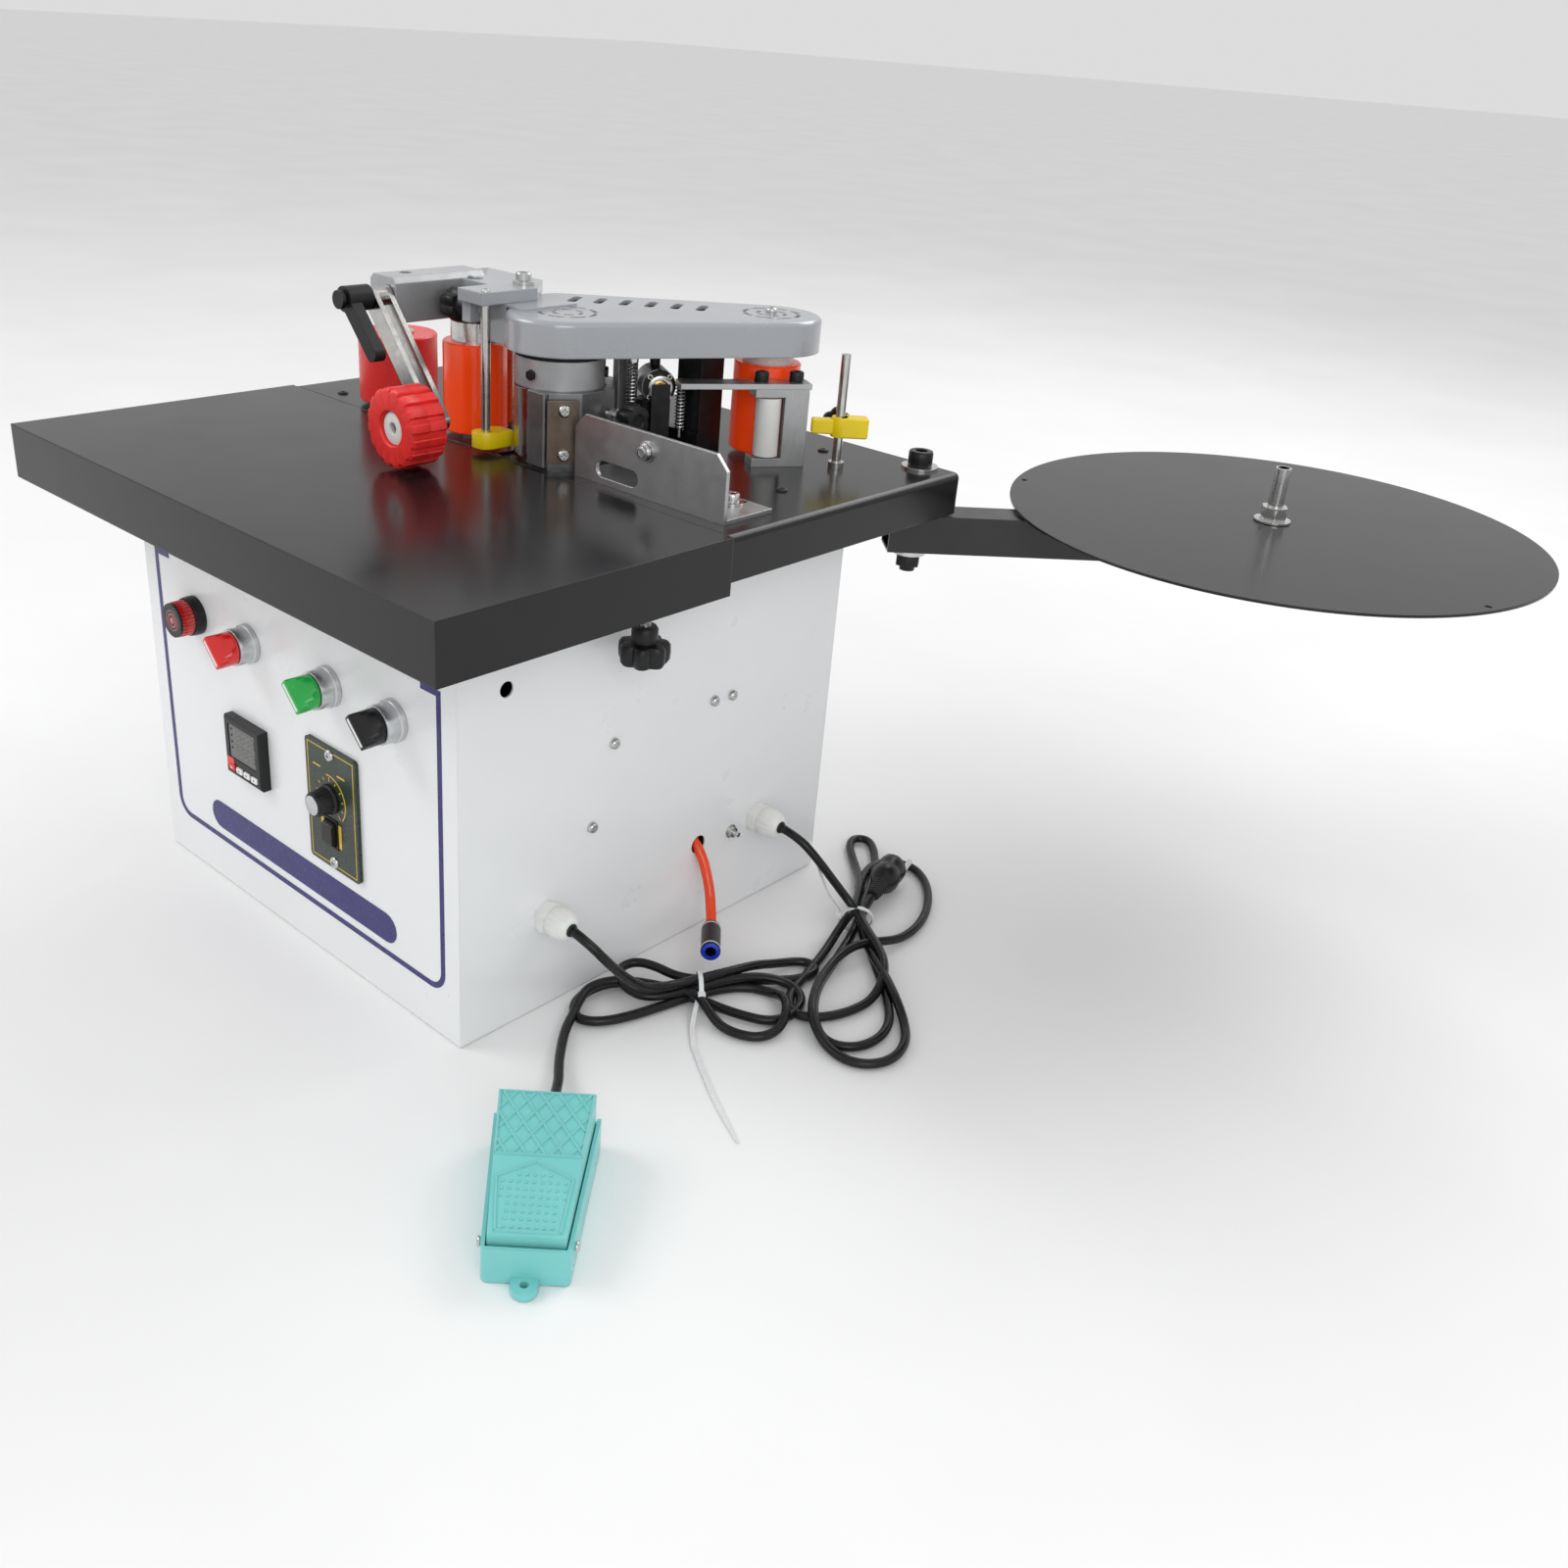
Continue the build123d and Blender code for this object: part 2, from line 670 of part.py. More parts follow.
def head_fasteners():
    x, z = pivot_at
    bolt = bar((x, -92, z), (x, -52, z), pivot_r) + bar((x, -95, z), (x, -92, z), 6.5)
    big = post((-8.5, 32), head_z + head_t, head_z + head_t + 3, 8) + cap_screw(
        -8.5, 32, head_z + head_t + 3, 5.5, 5)
    small = cap_screw(4, -14, head_z + head_t, 2.5, 2)
    plate_top = block_top + guide_plate_t
    plate_screws = [cap_screw(*along(6, 8.5), plate_top, 5, 6),
                    cap_screw(*along(33, 8.5), plate_top, 5, 6)]
    fence_bolt = bar((157, -5, table_top + 33), (157, 0, table_top + 33), 5.5)
    flange_bolt = post((207, 34), table_top + 3, table_top + 4.5, 8)
    flange_bolt += cap_screw(207, 34, table_top + 4.5, 5, 6)
    vent_screw = post(feed_at, guard_z + guard_h, guard_z + guard_h + 2, 4)
    small_table = [post(at, table_top, table_top + 1.2, 4)
                   for at in ((-205, 5), (-110, 80), (147, 208), (200, 96), (60, 215))]
    return [bolt, big, small, *plate_screws, fence_bolt, flange_bolt, vent_screw, *small_table]


head_post = post((-40, 50), table_top, head_z, 7)
add("press_head", press_head())
add("guide_rods", *guide_rods(), head_post, guard_post())
add("head_knob", head_knob())
add("wheel_arm", wheel_arm())
add("press_wheel", press_wheel())
add("clamp_lever", clamp_lever())

# ---------------------------------------------------------------- tape cutter
cut_dir = (u_dir[1], -u_dir[0])
cut_z = table_top + 52.0
cut_mid = (80.0, 88.0)


def across(d, z=cut_z):
    """Point d in front of the cutter's middle, along its stroke."""
    return (cut_mid[0] + d * cut_dir[0], cut_mid[1] + d * cut_dir[1], z)


def cutter_frame():
    base = block(62, 80.5, 76, 101, table_top, cut_z - 10)
    base -= bar(across(-30), across(20), 13)
    column = block(86, 110, 102, 126, table_top, guard_z - 1)
    tie = block(62, 110, 101, 110, table_top, table_top + 20)
    side = block(56, 62, 64, 84, table_top, table_top + 70)
    return (base + column + tie + side) - bar(across(-30), across(20), 13)


def cutter_cylinder():
    body = bar(across(-22), across(2), 12.9)
    ring = bar(across(2), across(5), 9)
    port = post(across(-14)[:2], cut_z + 10, cut_z + 20, 4)
    return (body + ring + port) - bar(across(-18), across(6), 3 + slip)


def cutter_blade():
    rod = bar(across(-8), across(8), 3)
    x, y, z = across(8)
    edge = Plane(origin=(x, y, table_top + 30), x_dir=(u_dir[0], u_dir[1], 0), z_dir=(0, 0, 1))
    head = edge * Box(14, 3, 50)
    return rod + head


add("cutter_frame", cutter_frame())
add("cutter_cylinder", cutter_cylinder())
add("cutter_blade", cutter_blade())

# ---------------------------------------------------------------- reel
reel_run = math.hypot(reel_at[0] - arm_pivot[0], reel_at[1] - arm_pivot[1])
reel_turn = math.degrees(math.atan2(reel_at[1] - arm_pivot[1], reel_at[0] - arm_pivot[0]))
arm_top = arm_bottom + arm_side


def reel_arm():
    long = reel_run + 2 * arm_tail
    low = (Align.MIN, Align.CENTER, Align.MIN)
    tube = Box(long, arm_side, arm_side, align=low)
    hollow = arm_side - 2 * arm_wall
    tube -= Pos(-1, 0, arm_wall) * Box(long + 2, hollow, hollow, align=low)
    tube = Pos(arm_pivot[0], arm_pivot[1], arm_bottom) * Rot(0, 0, reel_turn) * Pos(-arm_tail, 0, 0) * tube
    tube -= post(arm_pivot, arm_bottom - 1, arm_top + 1, spindle_r + slip)
    return tube - post(reel_at, arm_bottom - 1, arm_top + 1, spindle_r)


def reel_pivot():
    bolt = post(arm_pivot, arm_bottom - 18, table_top + 2, spindle_r)
    head = cap_screw(*arm_pivot, table_top + 2, 9, 11)
    washer = post(arm_pivot, table_top, table_top + 2, 14)
    sleeve = post(arm_pivot, arm_top + gap, table_z, 9)
    nut = Pos(*arm_pivot, arm_bottom - 14) * extrude(RegularPolygon(10, 6), amount=10)
    low_washer = post(arm_pivot, arm_bottom - 4, arm_bottom - gap, 13)
    return bolt + head + washer + sleeve + nut + low_washer


def reel_spindle():
    bolt = post(reel_at, arm_bottom - 8, spindle_top, spindle_r)
    head = Pos(*reel_at, arm_bottom - 8) * extrude(RegularPolygon(10, 6), amount=8)
    seat = post(reel_at, arm_top, arm_top + 1.5, 20)
    nut = Pos(*reel_at, arm_top + 2.1 + disc_t) * extrude(RegularPolygon(10.5, 6), amount=12)
    return bolt + head + seat + nut


def reel_disc():
    z = arm_top + 1.8
    disc = post(reel_at, z, z + disc_t, disc_r) - post(reel_at, z - 1, z + 5, spindle_r + slip)
    for a in (200, 340):
        c = (reel_at[0] + 198 * math.cos(math.radians(a)), reel_at[1] + 198 * math.sin(math.radians(a)))
        disc -= post(c, z - 1, z + 5, 2.5)
    return disc


add("fasteners", *cabinet_fasteners(), *head_fasteners(), reel_pivot())
add("reel_arm", reel_arm(), reel_spindle())
add("reel_disc", reel_disc())

# ---------------------------------------------------------------- operator panel


def out(x, z, y0, y1, r):
    """Cylinder standing out of the panel, from y0 to y1 mm in front of it."""
    return bar((x, panel_y - y1, z), (x, panel_y - y0, z), r)


collar_out = 14.5


def pilot_lamp():
    x, z = lamp_at
    return out(x, z, 0, 8, button_r) + out(x, z, -40, 0, button_hole_r - gap) + out(x, z, 8, 20, 13)


def selector_bodies():
    bodies = []
    for x, z in selectors.values():
        body = out(x, z, 0, 4, button_r) + out(x, z, 4, collar_out, 13.4)
        body += out(x, z, -18, 0, button_hole_r - gap)
        body += block(x - 14, x + 14, panel_y + 18, panel_y + 50, z - 14, z + 14)
        bodies.append(body - out(x, z, -12, collar_out + 1, 3 + slip))
    return bodies


def selector_handle(at):
    """Round handle pinched by two slopes into a ridge, on a shaft through the collar."""
    x, z = at
    root = collar_out + gap
    side = [(-13, 0), (13, 0), (13, 2.5), (3, 16), (-3, 16), (-13, 2.5)]
    wedge = extrude(Plane.XZ * make_face(Polyline(*side, close=True)), amount=14, both=True)
    wedge = Pos(x, panel_y - root, z) * Rot(90, 0, 0) * Rot(0, 0, 45) * wedge
    return (wedge & out(x, z, root - 1, root + 17, 12.4)) + out(x, z, -10, root, 3)


def temp_controller():
    x, z = temp_at
    s = temp_side / 2
    bezel = block(x - s, x + s, panel_y - 8, panel_y, z - s, z + s)
    bezel = chamfer(bezel.faces().sort_by(Axis.Y)[0].edges(), 1.5)
    bezel -= block(x - 18, x + 18, panel_y - 9, panel_y - 7, z - 9, z + 19)
    b = temp_body / 2
    unit = bezel + block(x - b, x + b, panel_y, panel_y + 75, z - b, z + b)
    for i in range(4):
        cx, cz = key_at(i)
        unit -= block(cx - 4.2, cx + 4.2, panel_y - 9, panel_y - 4.5, cz - 2.7, cz + 2.7)
    return unit


def key_at(i):
    return (temp_at[0] - 15 + 10 * i, temp_at[1] - 17)


def temp_key(i):
    cx, cz = key_at(i)
    return block(cx - 4, cx + 4, panel_y - 9.2, panel_y - 5.5, cz - 2.5, cz + 2.5)


def speed_controller():
    x, z = speed_at
    plate = block(x - speed_w / 2, x + speed_w / 2, panel_y - 3, panel_y, z - speed_h / 2, z + speed_h / 2)
    plate = fillet(plate.edges().filter_by(Axis.Y), 3)
    unit = plate + block(x - 26, x + 26, panel_y, panel_y + 55, z - 40, z + 40)
    for dz in (-43, 43):
        unit += out(x, z + dz, 3, 4.6, 3.4)
    unit -= out(*speed_knob_at, -20, 5, 3 + slip)
    rx, rz = rocker_at
    unit -= bar((rx - rocker_w / 2 - gap, panel_y - 1, rz), (rx + rocker_w / 2 + gap, panel_y - 1, rz),
                rocker_r + gap)
    return unit


def speed_knob():
    x, z = speed_knob_at
    return out(x, z, 3.4, 18, 11) + out(x, z, -18, 3.4, 3)


def power_rocker():
    x, z = rocker_at
    half = rocker_w / 2
    rocker = bar((x - half, panel_y - 1, z), (x + half, panel_y - 1, z), rocker_r)
    return rocker & block(x - half, x + half, panel_y - 7.5, panel_y + 5, z - 20, z + 20)


add("panel_fittings", pilot_lamp(), *selector_bodies())
for name, at in selectors.items():
    add(name + "_selector", selector_handle(at))
add("temp_controller", temp_controller())
for i, name in enumerate(("key_set", "key_shift", "key_down", "key_up")):
    add(name, temp_key(i))
add("speed_controller", speed_controller())
add("speed_knob", speed_knob())
add("power_rocker", power_rocker())

# ---------------------------------------------------------------- electrics inside


def electrics_plate():
    """Mounting plate on the left wall with contactor, terminal row and solenoid valve."""
    x = -half_w + cabinet_wall
    plate = block(x, x + 3, -150, 120, 60, 290)
    contactor = block(x + 3, x + 60, -60, -10, 180, 260)
    terminals = block(x + 3, x + 30, -120, 60, 100, 130)
    relay = block(x + 3, x + 45, 30, 70, 190, 250)
    return [plate, contactor, terminals, relay]


def air_valve():
    """Solenoid valve on the right wall; the supply hose ends in it."""
    x = half_w - cabinet_wall
    body = block(x - 38, x, 60, 100, 110, 150)
    tee = block(x - 50, x - 38, 33, 100, 100, 126)
    return body + tee


add("electrics_plate", *electrics_plate(), air_valve())

# ---------------------------------------------------------------- cable glands


def cable_glands():
    made = []
    for y in gland_y.values():
        z = gland_z
        hexagon = facing(half_w, y, z, (1, 0, 0)) * extrude(RegularPolygon(12.5, 6), amount=9)
        dome = facing(half_w + 9, y, z, (1, 0, 0)) * Cone(
            10.5, 7.5, gland_len - 9, align=(Align.CENTER, Align.CENTER, Align.MIN))
        thread = bar((half_w - 12, y, z), (half_w, y, z), 7.7)
        nut = facing(half_w - 9, y, z, (1, 0, 0)) * extrude(RegularPolygon(11.5, 6), amount=7.5)
        made.append(hexagon + dome + thread + nut)
    return made


add("cable_glands", *cable_glands())

# ---------------------------------------------------------------- pedal
pedal = Pos(pedal_at[0], pedal_at[1], 0) * Rot(0, 0, pedal_turn)


def pedal_prism(inset, x0, x1, z0, z1):
    """Block of the pedal's tapered plan, between two stations."""
    def half(x):
        return (pedal_back_w + (pedal_front_w - pedal_back_w) * x / pedal_len) / 2 - inset
    return prism([(x0, -half(x0)), (x1, -half(x1)), (x1, half(x1)), (x0, half(x0))], z0, z1)


def pedal_base():
    w = pedal_wall
    base = pedal_prism(0, 0, pedal_len, 0, pedal_side_h)
    base = fillet(base.edges().filter_by(Axis.Z), 4)
    base -= pedal_prism(w, w, pedal_len - w, 3, pedal_side_h + 1)
    # low back wall, so the treadle can come down behind it
    base -= block(-1, w + 1, -pedal_back_w, pedal_back_w, 20, pedal_side_h + 1)
    ear = block(pedal_len - 4, pedal_len + 6, -8, 8, 0, 5) + post((pedal_len + 5, 0), 0, 5, 8)
    base += ear - block(0, pedal_len - w, -20, 20, 0, 30)
    base -= post((pedal_len + 5, 0), -1, 6, 2.6)
    boss = bar((-8, 0, 14), (0, 0, 14), 6)
    base += boss
    x, z = pedal_pin
    reach = pedal_back_w / 2
    base += (bar((x, -reach, z), (x, reach, z), pedal_pin_r)
             & pedal_prism(-1.5, 0, pedal_len, 0, 40))
    switch = block(34, 64, -10, 10, 3, 14)
    return pedal * (base + switch)


def pedal_treadle():
    inset = pedal_wall + 0.8
    body = pedal_prism(inset, 5.5, pedal_len - 5, 6, pedal_back_h + 2)
    # side profile: sloping top, open underside
    profile = [(0, 22), (0, pedal_back_h), (60, pedal_back_h - 5), (pedal_len, pedal_front_h),
               (pedal_len, 9), (92, 9), (88, 22)]
    side = Plane.XZ * Polygon(*profile, align=None)
    side = extrude(side, amount=60, both=True)
    body &= side
    hollow = [(8, 21), (8, 38), (60, 34), (90, 27), (90, 21)]
    cavity = extrude(Plane.XZ * Polygon(*hollow, align=None), amount=60, both=True)
    cavity &= pedal_prism(inset + 3, 8.5, 92, 5, 60)
    body -= cavity
    x, z = pedal_pin
    body -= bar((x, -60, z), (x, 60, z), pedal_pin_r + slip)
    return pedal * body


add("pedal_base", pedal_base())
add("pedal_treadle", pedal_treadle())

# ---------------------------------------------------------------- cords and air hose


def tube(name, points, r):
    """Straight runs joined by tangent arcs as large as the two runs at each corner allow."""
    p = [Vector(*q) for q in points]
    radii = []
    for a, b, c in zip(p, p[1:], p[2:]):
        turn = math.radians((b - a).get_angle(c - b))
        radii.append(0.45 * min((b - a).length, (c - b).length) / math.tan(turn / 2))
    path = FilletPolyline(*points, radius=radii)
    section = Plane(origin=path @ 0, z_dir=path % 0) * Circle(r)
    solid = sweep(section, path=path)
    ratio = solid.volume / (math.pi * r * r * path.length)
    print(f"{name}: length {path.length:.0f}, volume ratio {ratio:.4f}, radii",
          [round(v, 1) for v in radii])
    return solid


def pad(points, height):
    return prism(points, 0, height)


pedal_lead = [(218, -113, 76), (232, -112, 73), (243, -102, 57), (246, -86, 38), (249, -68, 23),
              (256, -50, 14)]
pedal_hank = [(210, -112), (233, -112), (252, -72), (284, -53), (326, -36), (326, -4), (312, 20),
              (288, 58), (272, 58), (253, -17), (200, -34), (201, -86)]
pedal_tail = [(218, -106, 6), (224, -121, 6), (238, -140, 6), (255, -158, 7), (274, -175, 10),
              (291, -197, 14)]
mains_lead = [(218, 110.5, 76), (234, 112, 74), (250, 119, 58), (262, 129, 38), (273, 137, 20)]
mains_hank = [(193, 244), (206, 256), (222, 240), (248, 190), (272, 162), (284, 168), (286, 212),
              (306, 208), (322, 168), (312, 124), (334, 104), (398, 46), (404, 8), (384, -6),
              (346, 6), (328, 18), (306, 66), (278, 122), (224, 194)]
hose_route = [(163, 43, 93), (192, 43, 73.7), (206, 41, 46), (217, 33, 29), (225, 25, 22)]
hank_h = 18.0

add("pedal_cord_lead", tube("pedal lead", pedal_lead, cord_r))
add("pedal_cord_hank", pad(pedal_hank, hank_h))
add("pedal_cord_tail", tube("pedal tail", pedal_tail, cord_r))
add("mains_cord_lead", tube("mains lead", mains_lead, cord_r))
add("mains_cord_hank", pad(mains_hank, hank_h))
add("air_hose", tube("hose", hose_route, hose_r))


def mains_plug():
    root = (271, 172, 15)
    nose = (256, 218, 15)
    run = (Vector(*nose) - Vector(*root)).normalized()
    neck = Plane(origin=root, z_dir=run) * Cone(4.5, 7, 18, align=(Align.CENTER, Align.CENTER, Align.MIN))
    start = Vector(*root) + run * 18
    body = bar(tuple(start), nose, 13.5)
    side = Vector(run.Y, -run.X, 0)
    pins = []
    for k in (-1, 1):
        a = Vector(*nose) + side * (9.5 * k)
        pins.append(bar(tuple(a), tuple(a + run * 19), 2.4))
    return neck + body + pins[0] + pins[1]


def hose_fitting():
    """Straight push-in union at the hose's end, with a collet ring at each end."""
    a = Vector(*hose_route[-1])
    run = Vector(0.66, -0.74, 0.09).normalized()
    body = bar(tuple(a), tuple(a + run * 36), 7.5)
    mouth = bar(tuple(a + run * 20), tuple(a + run * 40), hose_r + 0.1)
    return body - mouth


add("mains_plug", mains_plug())
add("hose_fitting", hose_fitting())

for node, found in solids.items():
    shape = found[0] if len(found) == 1 else Compound(children=found)
    shape.label = node
    export_step(shape, f"parts/{node}.step")
print(len(solids), "nodes")
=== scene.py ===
import math

import bmesh
import bpy
from mathutils import Matrix, Vector


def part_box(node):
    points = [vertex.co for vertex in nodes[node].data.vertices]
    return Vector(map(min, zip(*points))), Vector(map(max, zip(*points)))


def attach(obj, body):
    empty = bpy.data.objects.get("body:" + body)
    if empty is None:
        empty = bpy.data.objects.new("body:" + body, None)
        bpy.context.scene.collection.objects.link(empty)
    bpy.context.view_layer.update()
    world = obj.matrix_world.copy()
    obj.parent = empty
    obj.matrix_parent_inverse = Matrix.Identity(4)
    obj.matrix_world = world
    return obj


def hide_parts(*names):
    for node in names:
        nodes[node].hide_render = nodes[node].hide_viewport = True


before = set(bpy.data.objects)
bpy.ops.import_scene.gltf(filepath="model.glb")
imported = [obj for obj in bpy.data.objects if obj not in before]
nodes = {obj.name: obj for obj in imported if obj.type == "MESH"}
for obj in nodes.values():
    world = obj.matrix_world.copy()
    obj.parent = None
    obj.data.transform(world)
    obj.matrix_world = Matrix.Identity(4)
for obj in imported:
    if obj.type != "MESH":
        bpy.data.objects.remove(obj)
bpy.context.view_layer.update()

# Edge banding machine. Lengths in the helpers are millimetres and become metres in each mesh.
MM = 0.001


# ---- materials


class Graph:
    """Node graph of one material, with short calls for the nodes that every finish uses."""

    def __init__(self, name):
        self.material = bpy.data.materials.new(name)
        self.material.use_nodes = True
        self.tree = self.material.node_tree
        self.shader = self.tree.nodes["Principled BSDF"]
        self.where = self.tree.nodes.new("ShaderNodeTexCoord").outputs["Object"]

    def node(self, kind, values=(), links=(), **settings):
        made = self.tree.nodes.new(kind)
        for key, value in settings.items():
            setattr(made, key, value)
        for key, value in dict(values).items():
            made.inputs[key].default_value = value
        for key, source in dict(links).items():
            self.tree.links.new(source, made.inputs[key])
        return made

    def noise(self, size, detail=3.0, stretch=None):
        """Noise whose features are about size mm across, longer along an axis where stretched."""
        where = self.where
        if stretch:
            where = self.node("ShaderNodeMapping", {"Scale": stretch}, {"Vector": where}).outputs[0]
        values = {"Scale": 1 / (size * MM), "Detail": detail}
        return self.node("ShaderNodeTexNoise", values, {"Vector": where}).outputs["Fac"]

    def spread(self, fac, low, high, from_low=0.3, from_high=0.7):
        return self.node("ShaderNodeMapRange",
                         {"From Min": from_low, "From Max": from_high, "To Min": low, "To Max": high},
                         {"Value": fac}).outputs[0]

    def mix(self, fac, a, b):
        made = self.node("ShaderNodeMix", links={"Factor": fac}, data_type="RGBA")
        for key, value in (("A", a), ("B", b)):
            socket = [s for s in made.inputs if s.name == key and s.type == "RGBA"][0]
            if isinstance(value, tuple):
                socket.default_value = (*value, 1)
            else:
                self.tree.links.new(value, socket)
        return [s for s in made.outputs if s.type == "RGBA"][0]

    def edges(self, radius):
        """(normal rounded over edges, how near an edge is, from 0 to 1)."""
        rounded = self.node("ShaderNodeBevel", {"Radius": radius * MM}, samples=4).outputs[0]
        flat = self.node("ShaderNodeNewGeometry").outputs["Normal"]
        same = self.node("ShaderNodeVectorMath", operation="DOT_PRODUCT")
        self.tree.links.new(rounded, same.inputs[0])
        self.tree.links.new(flat, same.inputs[1])
        rim = self.spread(same.outputs["Value"], 1.0, 0.0, 0.72, 0.95)
        return rounded, rim


def tint(colour, by):
    return tuple(min(1.0, max(0.0, c * by)) for c in colour)


def finish(name, colour, rough, metal=0.0, mottle=(0.06, 45.0), vary=0.06, grain=(0.1, 0.7), stretch=None,
           edge=0.6, edge_wear_and_highlight=None, uniform=()):
    """A surface finish: colour and roughness that wander, grain as bump, and an edge colour that is partly
    wear and partly painted highlight.

    mottle and grain are (amount, size in mm), edge is the rounding in mm and edge_wear_and_highlight is
    (amount, colour) for that edge colour.
    """
    blotch, blotch_size = mottle
    grain_high, grain_size = grain
    g = Graph(name)
    slow = g.noise(blotch_size, 4.0)
    fine = g.noise(grain_size, 2.0, stretch)
    base = g.mix(g.spread(slow, 0.0, 1.0), tint(colour, 1 - blotch), tint(colour, 1 + blotch))
    if stretch:
        base = g.mix(g.spread(fine, 0.0, 0.35), base, tint(colour, 0.62))
    if edge:
        rounded, rim = g.edges(edge)
    # Painted edge highlight mixed with wear: an edge colour, lighter on most finishes, is laid in patches
    # along every rounded edge whatever the light.
    if edge and edge_wear_and_highlight:
        edge_share, edge_tint = edge_wear_and_highlight
        patchy = g.node("ShaderNodeMath", links={0: rim, 1: g.spread(g.noise(6.0), 0.25 * edge_share, edge_share)},
                        operation="MULTIPLY").outputs[0]
        base = g.mix(patchy, base, edge_tint)
    roughness = g.spread(g.noise(blotch_size * 0.4, 5.0), rough - vary, rough + vary)
    lie = {"Height": fine, "Normal": rounded} if edge else {"Height": fine}
    bump = g.node("ShaderNodeBump", {"Strength": grain_high, "Distance": 0.15 * MM}, lie).outputs[0]
    g.tree.links.new(base, g.shader.inputs["Base Color"])
    g.tree.links.new(roughness, g.shader.inputs["Roughness"])
    g.tree.links.new(bump, g.shader.inputs["Normal"])
    g.shader.inputs["Metallic"].default_value = metal
    for key, value in dict(uniform).items():
        g.shader.inputs[key].default_value = value
    return g.material


COAT = {"Coat Weight": 0.35, "Coat Roughness": 0.12}
DULL = {"Specular IOR Level": 0.32}
SOFT = {"Subsurface Weight": 0.25, "Subsurface Scale": 0.004}
# Clear coat plus a painted glow: emission lights up the orange rollers though they are no lamp.
COAT_AND_PAINTED_GLOW = {"Coat Weight": 0.2, "Coat Roughness": 0.1, "Emission Color": (1.0, 0.06, 0.004, 1.0),
          "Emission Strength": 0.16}
CLEAR = {"Subsurface Weight": 0.5, "Subsurface Scale": 0.004, "Transmission Weight": 0.15}
LENS = {"Coat Weight": 0.8, "Coat Roughness": 0.05, "Subsurface Weight": 0.4, "Subsurface Scale": 0.003}
GLASS = {"Coat Weight": 1.0, "Coat Roughness": 0.04}

white_paint = finish("white_powder_coat", (0.80, 0.81, 0.82), 0.32, mottle=(0.018, 120), grain=(0.07, 1.1),
                     edge=1.2, edge_wear_and_highlight=(0.25, (0.62, 0.62, 0.62)), uniform=COAT)
black_paint = finish("black_powder_coat", (0.009, 0.009, 0.010), 0.21, mottle=(0.12, 150), vary=0.03,
                     grain=(0.04, 0.8), edge=1.6, edge_wear_and_highlight=(0.25, (0.08, 0.08, 0.085)), uniform=DULL)
tube_paint = finish("black_tube_paint", (0.014, 0.014, 0.015), 0.33, mottle=(0.2, 45), grain=(0.14, 1.2),
                    edge=1.2, edge_wear_and_highlight=(0.5, (0.14, 0.14, 0.145)))
grey_paint = finish("grey_enamel", (0.38, 0.395, 0.42), 0.25, metal=0.2, mottle=(0.015, 70),
                    grain=(0.015, 2.2), edge=1.4, uniform=COAT)
cast_metal = finish("sand_cast_aluminium", (0.42, 0.43, 0.44), 0.42, metal=0.75, mottle=(0.10, 18),
                    grain=(0.55, 1.1), edge=1.4, edge_wear_and_highlight=(0.5, (0.75, 0.76, 0.77)))
dark_cast = finish("machined_pot_aluminium", (0.24, 0.245, 0.25), 0.38, metal=0.85, mottle=(0.14, 16),
                   grain=(0.35, 0.9), stretch=(1, 1, 0.08), edge=0.9, edge_wear_and_highlight=(0.6, (0.7, 0.7, 0.7)))
plate_metal = finish("brushed_plate", (0.50, 0.505, 0.51), 0.36, metal=0.92, mottle=(0.05, 30),
                     grain=(0.18, 0.35), stretch=(0.03, 1, 1), edge=0.7, edge_wear_and_highlight=(0.6, (0.85, 0.85, 0.85)))
block_metal = finish("milled_aluminium", (0.46, 0.465, 0.47), 0.40, metal=0.85, mottle=(0.08, 22),
                     grain=(0.25, 0.5), stretch=(1, 1, 0.06), edge=0.8, edge_wear_and_highlight=(0.5, (0.8, 0.8, 0.8)))
steel = finish("bright_zinc_steel", (0.60, 0.60, 0.59), 0.24, metal=1.0, mottle=(0.07, 9),
               grain=(0.12, 0.5), edge=0.35, edge_wear_and_highlight=(0.3, (0.85, 0.85, 0.85)))
ground_steel = finish("ground_steel_rod", (0.55, 0.54, 0.52), 0.20, metal=1.0, mottle=(0.08, 12),
                      grain=(0.10, 0.4), stretch=(1, 1, 0.05), edge=0.4)
chrome = finish("satin_chrome", (0.60, 0.61, 0.62), 0.34, metal=1.0, mottle=(0.03, 8), grain=(0.03, 0.7),
                edge=0.5)
black_steel = finish("blackened_screw", (0.02, 0.02, 0.022), 0.34, metal=0.6, mottle=(0.25, 6),
                     grain=(0.2, 0.5), edge=0.4, edge_wear_and_highlight=(0.6, (0.22, 0.22, 0.22)))
black_plastic = finish("black_nylon", (0.010, 0.010, 0.011), 0.34, mottle=(0.2, 14), grain=(0.14, 0.45),
                       edge=0.7, edge_wear_and_highlight=(0.25, (0.06, 0.06, 0.06)), uniform=DULL)
red_rubber = finish("red_polyurethane", (0.80, 0.030, 0.026), 0.28, mottle=(0.04, 25), grain=(0.06, 0.9),
                    edge=0.7, edge_wear_and_highlight=(0.2, (0.85, 0.16, 0.12)))
wheel_rubber = finish("red_wheel_rubber", (0.80, 0.026, 0.022), 0.38, mottle=(0.08, 15), grain=(0.16, 0.6),
                      edge=0.6, edge_wear_and_highlight=(0.4, (0.85, 0.18, 0.14)), uniform=SOFT)
